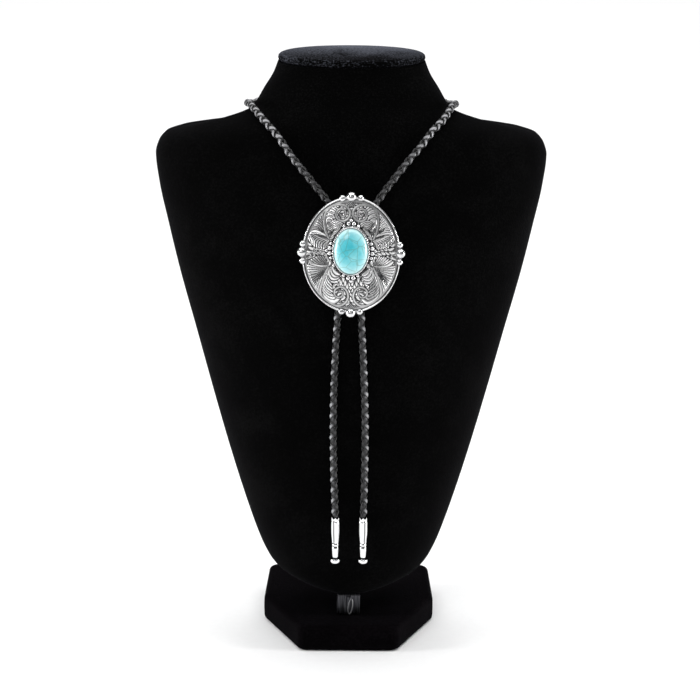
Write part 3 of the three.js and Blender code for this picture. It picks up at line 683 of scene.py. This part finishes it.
def highlightLoop():
    # a painted highlight: a long thin loop of light steel on the front of the rib, standing for the shine on the
    # pressing
    mark = bracket["loop"]
    points, faces = [], []
    steps, around = mark["steps"], mark["around"]
    for i in range(steps):
        a = 2 * math.pi * i / steps
        x, z = mark["halfWidth"] * math.cos(a), mark["halfHeight"] * math.sin(a)
        normal = np.array([math.cos(a) / mark["halfWidth"], 0, math.sin(a) / mark["halfHeight"]])
        normal /= np.linalg.norm(normal)
        aside = mark["across"] + x + mark["lean"] * z
        centre = np.array([aside, -bracket["front"] - mark["out"], bracket["foot"] + mark["up"] + z])
        for j in range(around):
            b = 2 * math.pi * j / around
            points.append(centre + mark["thickness"] / 2 * (normal * math.cos(b) + np.array([0, -1, 0]) * math.sin(b)))
            here, after, beside = i * around, (i + 1) % steps * around, (j + 1) % around
            faces.append((here + j, here + beside, after + beside, after + j))
    return np.array(points), faces


makeBase()
makeBracket()
print("stage: base and bracket made")

# Slide: drawn lying down, X right, Y up the plate and Z out of its face, then stood against the chest
slide = {
    "centre": (0.4, -66.28, 259.8),
    "turn": -2.1,  # degrees, as the photograph shows it hanging
    "lean": 7,
    "halfWidth": 28.8,
    "halfHeight": 34.1,
    "sheet": 1.4,
    "rise": 4,
    "rimRise": 0.5,
    "around": 640,
    "across": 96,
    "edgeAngle": 60,
}
setting = {
    "halfWidth": 10.9,
    "halfHeight": 14.4,
    "wall": 0.8,
    "height": 2.6,
    "up": 2.9,  # the stone sits above the plate's middle
    "crown": 3.6,
    "granules": [  # x, y, diameter
        (0, 20.7, 2.1), (-1.5, 18.8, 2.7), (1.5, 18.8, 2.7), (-4.2, 17.4, 2.1), (4.2, 17.4, 2.1),
        (14.3, 2.9, 2.1), (12.5, 4.4, 2.7), (12.5, 1.4, 2.7), (11.8, 7.1, 2.1), (11.8, -1.3, 2.1),
        (-14.3, 2.9, 2.1), (-12.5, 4.4, 2.7), (-12.5, 1.4, 2.7), (-11.8, 7.1, 2.1), (-11.8, -1.3, 2.1),
        (0, -14.9, 2.1), (-1.5, -13, 2.7), (1.5, -13, 2.7), (-4.2, -11.6, 2.1), (4.2, -11.6, 2.1),
    ],
}
aboutZ = Matrix.Rotation(math.radians(slide["turn"]), 4, "Z")
aboutX = Matrix.Rotation(math.radians(90 - slide["lean"]), 4, "X")
standSlide = np.array(Matrix.Translation(slide["centre"]) @ aboutZ @ aboutX)


def onSlide(points):
    # from the slide's own drawing to its place on the bust
    return points @ standSlide[:3, :3].T + standSlide[:3, 3]


def faceHeight(x, y):
    reach = (x / slide["halfWidth"]) ** 2 + (y / slide["halfHeight"]) ** 2
    return slide["sheet"] + slide["rise"] * (1 - np.minimum(reach, 1))


# leaves of the engraving's left half, root first: how many, how wide, and the key leaves that they blend
engravedFans = [
    (9, 1.05, [
        [(-13.5, 10), (-18, 11.6), (-22.8, 12.2), (-25.2, 9.3)],
        [(-13, 9.6), (-17.2, 9.9), (-20.4, 8.6), (-21.4, 5)],
        [(-12.6, 9), (-13.6, 8.1), (-15, 6.6), (-15.9, 4)]]),
    (9, 1.15, [
        [(-14.4, 13.6), (-16.2, 17.5), (-17.4, 21.5), (-17.2, 25.6)],
        [(-14.1, 12.6), (-16.7, 16.4), (-19.2, 19.4), (-21.4, 21)],
        [(-13.8, 11.6), (-17.3, 14), (-20.6, 16), (-23.8, 16.6)],
        [(-13.4, 10.8), (-17, 12.5), (-21, 13.6), (-25, 12.6)]]),
    (5, 1.35, [
        [(-14.9, 22), (-14.1, 26), (-11.6, 28.2), (-8.6, 27)],
        [(-15.2, 20), (-14.4, 23.2), (-12.5, 25.4), (-9.6, 24.6)],
        [(-15, 17), (-14.6, 19.6), (-13.2, 20.9), (-10.6, 19.6)]]),
    (8, 1.0, [
        [(-13.4, 14), (-12.9, 17.4), (-10, 19.5), (-5, 18.2)],
        [(-12.4, 13.2), (-11.6, 15.9), (-9.3, 17.3), (-6.6, 16)],
        [(-12, 12), (-11, 13.8), (-8.8, 15), (-6.2, 14.9)],
        [(-11.6, 10.8), (-10.6, 12.2), (-9.2, 13.4), (-7.6, 13.8)]]),
    (7, 1.05, [
        [(-13, -5), (-14.3, -4.3), (-15.8, -2.9), (-16.6, -0.6)],
        [(-13.4, -5.6), (-16, -5.2), (-18.6, -4), (-20.3, -1.3)],
        [(-13.6, -6.2), (-17.5, -6.7), (-21.5, -6), (-24.5, -3.6)]]),
    (10, 1.1, [
        [(-13.8, -6.8), (-18, -7.8), (-22, -7.6), (-25.3, -6.3)],
        [(-14, -7.6), (-18, -9.4), (-22, -10.2), (-25.4, -9.8)],
        [(-14.2, -8.3), (-17.4, -11), (-20.8, -13.2), (-24.2, -14)],
        [(-14.4, -9), (-16.9, -12.2), (-19.6, -15.3), (-22.7, -17.6)],
        [(-14.6, -9.6), (-16.6, -13.4), (-18.8, -17), (-21, -20.4)]]),
    (4, 1.15, [
        [(-13.4, -8.6), (-13.6, -12), (-11.4, -15), (-7.8, -15.6)],
        [(-12.6, -8.2), (-12.6, -11.4), (-10.4, -13.8), (-7, -13)],
        [(-11.6, -7.6), (-11.2, -10.2), (-9.6, -12), (-7.4, -12)],
        [(-11, -6.4), (-10.2, -8.6), (-8.6, -10.4), (-6.8, -11.2)]]),
    (7, 1.3, [
        [(-14.7, -11.2), (-14.2, -14.6), (-12.8, -16.8), (-11.3, -17.9)],
        [(-16.2, -16.8), (-15, -20.4), (-13, -22.4), (-10.7, -23.4)],
        [(-16.6, -22.6), (-13.6, -26.2), (-9.8, -27.6), (-6.6, -25.4)]]),
]
# stems that run out into the volutes, each with its width at the root
engravedStems = [
    (1.3, [(-12.8, 9.6), (-14.8, 14), (-15.6, 18.5), (-15.4, 23), (-13.4, 27.2), (-9.4, 29.4), (-4.8, 29.3),
           (-1.5, 27), (-0.9, 23.8), (-2.8, 20.9), (-6, 20.2), (-8.6, 22), (-9, 24.8), (-7.2, 27), (-4.8, 26.9),
           (-3.3, 25.1), (-3.9, 23.2), (-5.6, 22.8), (-6.4, 24)]),
    (0.9, [(-15.4, -10.6), (-17.8, -16), (-19.2, -20.5), (-18, -25), (-14.2, -29), (-9.4, -31.1), (-5.8, -31)]),
    (1.3, [(-13.2, -6.8), (-15.2, -11.5), (-16.6, -16), (-17.8, -20.5), (-16.8, -24.8), (-13.2, -28.4),
           (-8.4, -29.9), (-4.6, -29.2), (-2.1, -26.4), (-1.6, -22.8), (-3.3, -19.6), (-6.3, -18.5), (-9, -20),
           (-9.5, -22.6), (-8.2, -24.6), (-6, -24.7), (-4.6, -23), (-5, -21.2), (-6.8, -21)]),
]


def curveThrough(points, steps):
    # an even Catmull-Rom line through a few points
    p = np.asarray(points, float)
    p = np.concatenate([[2 * p[0] - p[1]], p, [2 * p[-1] - p[-2]]])
    t = np.linspace(0, 1, max(4, steps // (len(p) - 3)), endpoint=False)[:, None]
    legs = [0.5 * (2 * b + (c - a) * t + (2 * a - 5 * b + 4 * c - d) * t ** 2 + (3 * b - a - 3 * c + d) * t ** 3)
            for a, b, c, d in zip(p, p[1:], p[2:], p[3:])]
    return np.concatenate(legs + [p[-2:-1]])


def blendKeys(keys, share):
    place = share * (len(keys) - 1)
    i = min(int(place), len(keys) - 2)
    first, second = np.array(keys[i:i + 2], float)
    return first + (second - first) * (place - i)


groundCurls = {
    "spacing": 2.4,
    "length": 4.6,
    "width": 0.8,
    "roots": [(-12.5, 9.5), (-13, -7)],  # the curls fan out from these
    "volutes": [(-5.2, 24.6), (-5.6, -24)],  # and run round these
    "voluteReach": 6,
    "topFrom": 1.5,  # curls above this belong to the upper root and volute
    "bend": [(-0.5, 0.12), (-0.15, -0.1), (0.2, -0.08), (0.5, 0.3)],
    "lastShare": 0.86,  # of the plate's oval
    "roundStone": 2,
}
# The graver's ridges and cuts, in millimetres
graver = {
    "leafRidge": 0.32,
    "leafTilt": 0.16,
    "veinDepth": 0.14,
    "veinWidth": 0.13,
    "stemRidge": 0.22,
    "stemLineWidth": 0.11,
    "cutDepth": 0.32,
    "cutWidth": 0.13,
    "cutAway": 0.12,
    "cutReach": 0.28,
}
# What lies outside the leaves: heights in millimetres, places and widths as shares of the plate's oval
relief = {
    "ground": -0.12,
    "hatch": 0.06,
    "hatchPitch": 0.9,
    "hatchWithin": 5,  # between the volutes,
    "hatchBeyond": 19,  # above and below the stone
    "border": (0.905, 0.012),
    "groove": (0.957, 0.008),
    "grooveDepth": 0.25,
    "rim": (0.985, 0.015),
    "bezelFoot": (1.01, 0.025),
    "patina": 0.6,
}


def stoneShare(x, y, grow):
    # how far a point lies from the stone's middle: 1 on an oval that is wider than its setting by grow
    return np.hypot(x / (setting["halfWidth"] + grow), (y - setting["up"]) / (setting["halfHeight"] + grow))


def fillGround():
    # small curls under the leaves, so that no ground is left plain
    out = []
    step = groundCurls["spacing"]
    for row in range(-17, 18):
        for column in range(14):
            spot = np.array([-(column + 0.5 * (row % 2)) * step - 0.6, row * step * 0.9])
            share = math.hypot(spot[0] / slide["halfWidth"], spot[1] / slide["halfHeight"])
            if share > groundCurls["lastShare"] or stoneShare(*spot, groundCurls["roundStone"]) < 1:
                continue
            half = 0 if spot[1] > groundCurls["topFrom"] else 1
            root, volute = np.array(groundCurls["roots"][half]), np.array(groundCurls["volutes"][half])
            if np.linalg.norm(spot - volute) < groundCurls["voluteReach"]:
                ahead = (spot - volute)[::-1] * (1, -1)
            else:
                ahead = spot - root
            ahead = ahead / max(np.linalg.norm(ahead), 0.1)
            across = np.array([-ahead[1], ahead[0]]) * (1 if spot[1] > root[1] else -1)
            curl = [spot + (a * ahead + c * across) * groundCurls["length"] for a, c in groundCurls["bend"]]
            out.append((curveThrough(curl, 9), groundCurls["width"], True))
    return out


def engravingStrokes():
    out = fillGround()
    for count, width, keys in engravedFans:
        for i in range(count):
            out.append((curveThrough(blendKeys(keys, i / (count - 1)), 18), width, True))
    out += [(curveThrough(line, 120), width, False) for width, line in engravedStems]
    return [(line * (side, 1), width, isLeaf) for line, width, isLeaf in out for side in (1, -1)]


def cutStroke(height, polish, x, y, line, width, isLeaf):
    # one leaf or stem: a rounded ridge between two cuts, with a graver line on it, laid over what is under it
    pad = 1.2 * width + 1
    low, high = line.min(0) - pad, line.max(0) + pad
    near = (x > low[0]) & (x < high[0]) & (y > low[1]) & (y < high[1])
    px, py = x[near], y[near]
    start, leg = line[:-1], np.diff(line, axis=0)
    long = np.hypot(*leg.T)
    begun = np.concatenate([[0], np.cumsum(long)])
    best, share, offset = np.full(px.shape, 1e9), np.zeros(px.shape), np.zeros(px.shape)
    for (ax, ay), (lx, ly), span, done in zip(start, leg, long, begun):
        t = np.clip(((px - ax) * lx + (py - ay) * ly) / span ** 2, 0, 1)
        dx, dy = px - ax - t * lx, py - ay - t * ly
        away = np.hypot(dx, dy)
        closer = away < best
        best[closer] = away[closer]
        share[closer] = (done + t[closer] * span) / begun[-1]
        offset[closer] = (np.sign(lx * dy - ly * dx) * away)[closer]
    if isLeaf:
        half = width * np.interp(share, [0, .25, .6, .85, 1], [.16, .55, 1, .95, .5])
        ridge = graver["leafRidge"] * np.sqrt(np.clip(1 - (offset / half) ** 2, 0, 1))
        ridge += graver["leafTilt"] * offset / half
        vein = np.exp(-((offset - 0.25 * half) / graver["veinWidth"]) ** 2)
        ridge -= graver["veinDepth"] * vein * np.clip(1.15 - 1.25 * share, 0, 1)
    else:
        half = width / 2 * np.interp(share, [0, .1, .6, 1], [.7, 1, 1, .6])
        ridge = graver["stemRidge"] * np.sqrt(np.clip(1 - (offset / half) ** 2, 0, 1))
        if width > 1.2:  # the wide stems have a line along each side
            ridge -= graver["veinDepth"] * np.exp(-((np.abs(offset) - 0.38 * half) / graver["stemLineWidth"]) ** 2)
    inside = np.abs(offset) < half
    # the cuts run out shallow towards a leaf's root
    opened = np.clip(share / 0.4, 0.15, 1) if isLeaf else np.full(share.shape, 0.6)
    cut = np.exp(-((np.abs(offset) - half - graver["cutAway"]) / graver["cutWidth"]) ** 2)
    newHeight = np.where(inside, ridge, -graver["cutDepth"] * opened * cut)
    newPolish = np.where(inside, np.clip(0.56 + 1.1 * ridge, 0, 1), 0.52 - 0.4 * opened)
    use = np.abs(offset) < half + graver["cutReach"]
    for field, value in ((height, newHeight), (polish, newPolish)):
        part = field[near]
        part[use] = value[use]
        field[near] = part


def engraving(x, y):
    # height of the relief and how bright it is buffed, at each point of the plate
    share = np.sqrt((x / slide["halfWidth"]) ** 2 + (y / slide["halfHeight"]) ** 2)
    hatched = np.sin((np.abs(x) * 0.75 + y * 0.66) * 2 * math.pi / relief["hatchPitch"])
    hatched = hatched * (np.abs(x) < relief["hatchWithin"]) * (np.abs(y) > relief["hatchBeyond"])
    height, polish = relief["ground"] - relief["hatch"] * hatched, 0.5 - 0.16 * hatched
    for stroke in engravingStrokes():
        cutStroke(height, polish, x, y, *stroke)
    bands = [relief[name] for name in ("border", "groove", "rim")]
    fromBorder, fromGroove, fromRim = ((share - place) / wide for place, wide in bands)
    border, groove = np.clip(fromBorder, 0, 1), np.exp(-fromGroove ** 2)
    height, polish = height * (1 - border), polish * (1 - border) + 0.62 * border
    rim = np.sqrt(np.clip(1 - fromRim ** 2, 0, 1))
    for gx, gy, size in setting["granules"]:  # patina left round the granules and the bezel's foot
        polish = polish - relief["patina"] * np.clip(1.3 - (np.hypot(x - gx, y - gy) - 0.5 * size) / 0.5, 0, 1)
    footAt, footWide = relief["bezelFoot"]
    polish = polish - relief["patina"] * np.exp(-((stoneShare(x, y, 0.4) - footAt) / footWide) ** 2)
    height = height - relief["grooveDepth"] * groove + slide["rimRise"] * rim
    return height, np.clip(polish - 0.4 * groove + rim, 0, 1)


def engravedSilver():
    # sterling silver sheet, domed, hand engraved and oxidised: bright on the ridges, black in the cuts
    material, shader, place = newMaterial("engravedSilver", {"Metallic": 1})
    stain = noise(material, place, 2.6, 4)
    lifted = addNode(material, "Math", {"operation": "MULTIPLY_ADD", 1: 0.3, 2: -0.15}, {0: stain})
    amount = addNode(material, "Math", {"operation": "ADD", "use_clamp": True}, {
        0: pointValue(material, "polish"), 1: lifted.outputs[0],
    }).outputs[0]
    tool = noise(material, place, 0.5, 2)  # graver marks are 0.1 mm, drawn coarser to show
    stops = [(0.1, "#0e0e0f"), (0.42, "#5f5f60"), (0.8, "#d0d0d0"), (1, "#f6f6f6")]
    plug(material, shader, {
        "Base Color": colourRamp(material, stops, amount),
        "Roughness": mapRange(material, amount, 0, 1, 0.55, 0.24),
        "Normal": bumpFrom(material, tool, 0.2, 0.08),
    })
    return material


def ellipseRing(halfWidth, halfHeight, height, around, up=0):
    angle = roundAngles(around)
    return np.stack([halfWidth * np.cos(angle), up + halfHeight * np.sin(angle), np.full_like(angle, height)], 1)


def stoneRing(grow, height, around, share=1):
    halves = [share * (setting[name] + grow) for name in ("halfWidth", "halfHeight")]
    return ellipseRing(*halves, height, around, setting["up"])


def makePlate():
    around = slide["around"]
    inner = stoneRing(-0.6, 0, around)[:, :2]  # the plate runs in under the bezel
    outer = ellipseRing(slide["halfWidth"], slide["halfHeight"], 0, around)[:, :2]
    share = np.linspace(0, 1, slide["across"])[:, None, None]
    flat = inner * (1 - share) + outer * share
    x, y = flat[..., 0], flat[..., 1]
    height, polish = engraving(x, y)
    rings = list(np.stack([x, y, faceHeight(x, y) + height], -1)[::-1])
    below = [(1, 0.5), (0.992, 0.1), (0.975, 0), (0.95, 0.1)]
    hollow = [(share, slide["rise"] * (1 - share ** 2)) for share in (0.9, 0.75, 0.55, 0.35, 0.15)]
    back = [ellipseRing(s * slide["halfWidth"], s * slide["halfHeight"], z, around) for s, z in (below + hollow)[::-1]]
    points, faces = loft(back + rings)
    dull = [np.full(around, 0.55)] * len(back)
    piece = meshPiece("engravedPlate", onSlide(points), faces, engravedSilver(), "aged_silver", slide["edgeAngle"])
    paintPoints(piece, "polish", np.concatenate(dull + list(polish[::-1]) + [[0.5, 0.5]]))
    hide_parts("slide_plate")


makePlate()
print("stage: plate engraved")


def ballAt(x, y, z, radius, around):
    rings = []
    for a in np.linspace(-math.pi / 2, math.pi / 2, around // 2 + 1)[1:-1]:
        wide = radius * math.cos(a)
        rings.append(ellipseRing(wide, wide, radius * math.sin(a), around) + (x, y, z))
    return loft(rings)


# beads on the plate's edge, as (x, y, diameter)
edgeBeads = [
    (-0.1, 34.1, 6.1), (-5.4, 33.2, 4.1), (5.3, 33.4, 4.1), (-28.8, 1.4, 6.1), (-28.3, 6.4, 4.1), (-28.3, -3.7, 4.1),
    (28.8, 1.4, 6.1), (28.3, 6.4, 4.1), (28.3, -3.7, 4.1), (0, -34.1, 6.1), (-5.3, -33.3, 4.1), (5.3, -33.3, 4.1),
]


def makeBeads():
    lift, proud = 0.3, 0.2  # millimetres above the rim, and a share of a granule's size above the face
    big = [ballAt(x, y, slide["sheet"] + lift, size / 2, 36) for x, y, size in edgeBeads]
    small = [ballAt(x, y, faceHeight(x, y) + proud * size, size / 2, 20) for x, y, size in setting["granules"]]
    points, faces = merged(big + small)
    meshPiece("silverBeads", onSlide(points), faces, tumbledSilver, "bright_silver")


def makeBezel():
    # a serrated strip round the stone, on a plain foot
    around, teeth = 420, 60
    angle = roundAngles(around)
    wave = 0.5 + 0.5 * np.cos(teeth * angle)
    foot = faceHeight(0, setting["up"] + setting["halfHeight"]) - 0.6  # sunk into the plate's face
    top = faceHeight(0, setting["up"]) + setting["height"]
    rings = []
    for z, inset, tooth in (
        (foot, -0.3, 0), (foot + 1.7, -0.3, 0), (foot + 1.9, 0, 0), (top - 1.3, 0, 0.1), (top - 0.9, 0, 0.9),
        (top - 0.35, 0.05, 1), (top, 0.25, 0.7), (top + 0.12, 0.45, 0.4), (top + 0.05, 0.75, 0.1), (top - 0.5, 0.8, 0),
    ):
        grow = 0.3 * tooth * (wave - 0.6) - inset
        ring = stoneRing(0, z, around)
        ring[:, 0] += grow * np.cos(angle)
        ring[:, 1] += grow * np.sin(angle)
        rings.append(ring)
    points, faces = loft(rings, closed=False)
    meshPiece("bezelStrip", onSlide(points), faces, tumbledSilver, "bright_silver")


def turquoiseCabochon():
    # natural turquoise, cut to a dome and waxed: sky blue with a faint grey-green web, painted paler towards the edge
    # as a painted reflection
    material, shader, place = newMaterial("waxedTurquoise", {
        "Roughness": 0.22, "IOR": 1.61, "Subsurface Weight": 0.15, "Subsurface Radius": (0.6 * mm, 1 * mm, 1.1 * mm),
        "Subsurface Scale": 1, "Coat Weight": 0.6, "Coat Roughness": 0.06,
    })
    wander = noise(material, place, 6, 3, wanted="Color")
    bent = addNode(material, "VectorMath", {"operation": "MULTIPLY_ADD", 1: (1.6 * mm,) * 3}, {0: wander, 2: place})
    cells = addNode(material, "TexVoronoi", {
        "feature": "DISTANCE_TO_EDGE", "Scale": perMetre(5.4),  # web cells are 4 to 8 mm
    }, {"Vector": bent.outputs[0]})
    web = mapRange(material, cells.outputs["Distance"], 0, 0.05, 0.5, 0)
    cloud = noise(material, place, 9, 5)
    body = colourRamp(material, [(0.3, "#2fb0c0"), (0.5, "#4cc3d0"), (0.72, "#86dbe1")], cloud)
    # painted reflection: the colour is mixed towards pale cyan at the dome's edge
    paintedEdgeReflection = mixColour(material, pointValue(material, "edge"), body, "#c9eef0")
    plug(material, shader, {"Base Color": mixColour(material, web, paintedEdgeReflection, "#5d7f63")})
    return material


def makeStone():
    around = 96
    inside = setting["wall"] + 0.25  # the bezel's wall and a small gap
    face = faceHeight(0, setting["up"])
    foot, girdle, top = face + 0.6, face + 2, face + setting["height"] + setting["crown"]
    rings, paintedEdgeReflection = [stoneRing(-inside, foot, around)], [1]
    for a in np.radians(np.linspace(0, 89, 40)):
        share = math.cos(a) ** 0.85
        rings.append(stoneRing(-inside, girdle + (top - girdle) * math.sin(a), around, share))
        # painted reflection: paler towards the dome's edge
        paintedEdgeReflection.append(max(0, (share - 0.5) / 0.5) ** 1.7)
    points, faces = loft(rings)
    piece = meshPiece("turquoiseCabochon", onSlide(points), faces, turquoiseCabochon(), "turquoise", slide["edgeAngle"])
    paintPoints(piece, "edge", np.concatenate([np.repeat(paintedEdgeReflection, around), [1, 0]]))
    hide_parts("turquoise_stone")


makeBeads()
makeBezel()
makeStone()
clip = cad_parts["slide_clip"]
clip.data.materials.clear()
clip.data.materials.append(buffedSilver)
print("stage: stone set, beads and clip in place")

# Studio: white paper under a wide softbox, with a small key light, a panel in front and a strip at each side.
# The grey walls are there for the silver to mirror. Places and sizes are metres, powers are watts.
studio = {
    "paper": [(0.2, "#f8f8f8"), (0.8, "#fbfbfb")],
    "floorHalf": 9,
    "floorDrop": 0.0002,  # so that the floor and the base's foot don't share a plane
    "walls": "#4c4d4f",
    "wallStrength": 1,
    "lights": [
        ("overhead", (0, 1.2, 4), (0, 1.2, 0), (7, 7), 330),
        ("keyLight", (-0.7, -1.5, 1.3), (0, 0, 0.25), (0.7, 0.7), 6),
        ("frontPanel", (0.7, -3.1, 1.5), (0, 0, 0.27), (2.4, 1.3), 5),
        ("leftStrip", (-1.2, -0.2, 0.3), (0, 0, 0.2), (0.16, 0.7), 10),
        ("rightStrip", (1.25, -0.2, 0.35), (0, 0, 0.2), (0.16, 0.7), 10),
    ],
}


def paperSweep():
    # matt seamless paper: an even pale ground with the faintest fibre
    material, shader, place = newMaterial("seamlessPaper", {"Roughness": 0.9, "Specular IOR Level": 0.1})
    fibre = noise(material, place, 4, 2)
    plug(material, shader, {"Base Color": colourRamp(material, studio["paper"], fibre)})
    return material


def makeStudio():
    mesh = bpy.data.meshes.new("paperFloor")
    wide = studio["floorHalf"]
    mesh.from_pydata([(-wide, -wide, 0), (wide, -wide, 0), (wide, wide, 0), (-wide, wide, 0)], [], [(0, 1, 2, 3)])
    floor = bpy.data.objects.new("paperFloor", mesh)
    floor.location.z = -studio["floorDrop"]
    link(floor)
    mesh.materials.append(paperSweep())
    world = bpy.data.worlds.new("softbox")
    world.use_nodes = True
    walls = world.node_tree.nodes["Background"].inputs
    walls["Color"].default_value = hexToLinear(studio["walls"])
    walls["Strength"].default_value = studio["wallStrength"]
    bpy.context.scene.world = world
    for name, place, aim, size, power in studio["lights"]:
        data = bpy.data.lights.new(name, "AREA")
        data.shape, data.energy = "RECTANGLE", power
        data.size, data.size_y = size
        light = bpy.data.objects.new(name, data)
        light.location = place
        light.rotation_euler = (Vector(place) - Vector(aim)).to_track_quat("Z", "Y").to_euler()
        link(light)
    bpy.context.scene.view_settings.view_transform = "Standard"


makeStudio()
print("stage: studio lit")
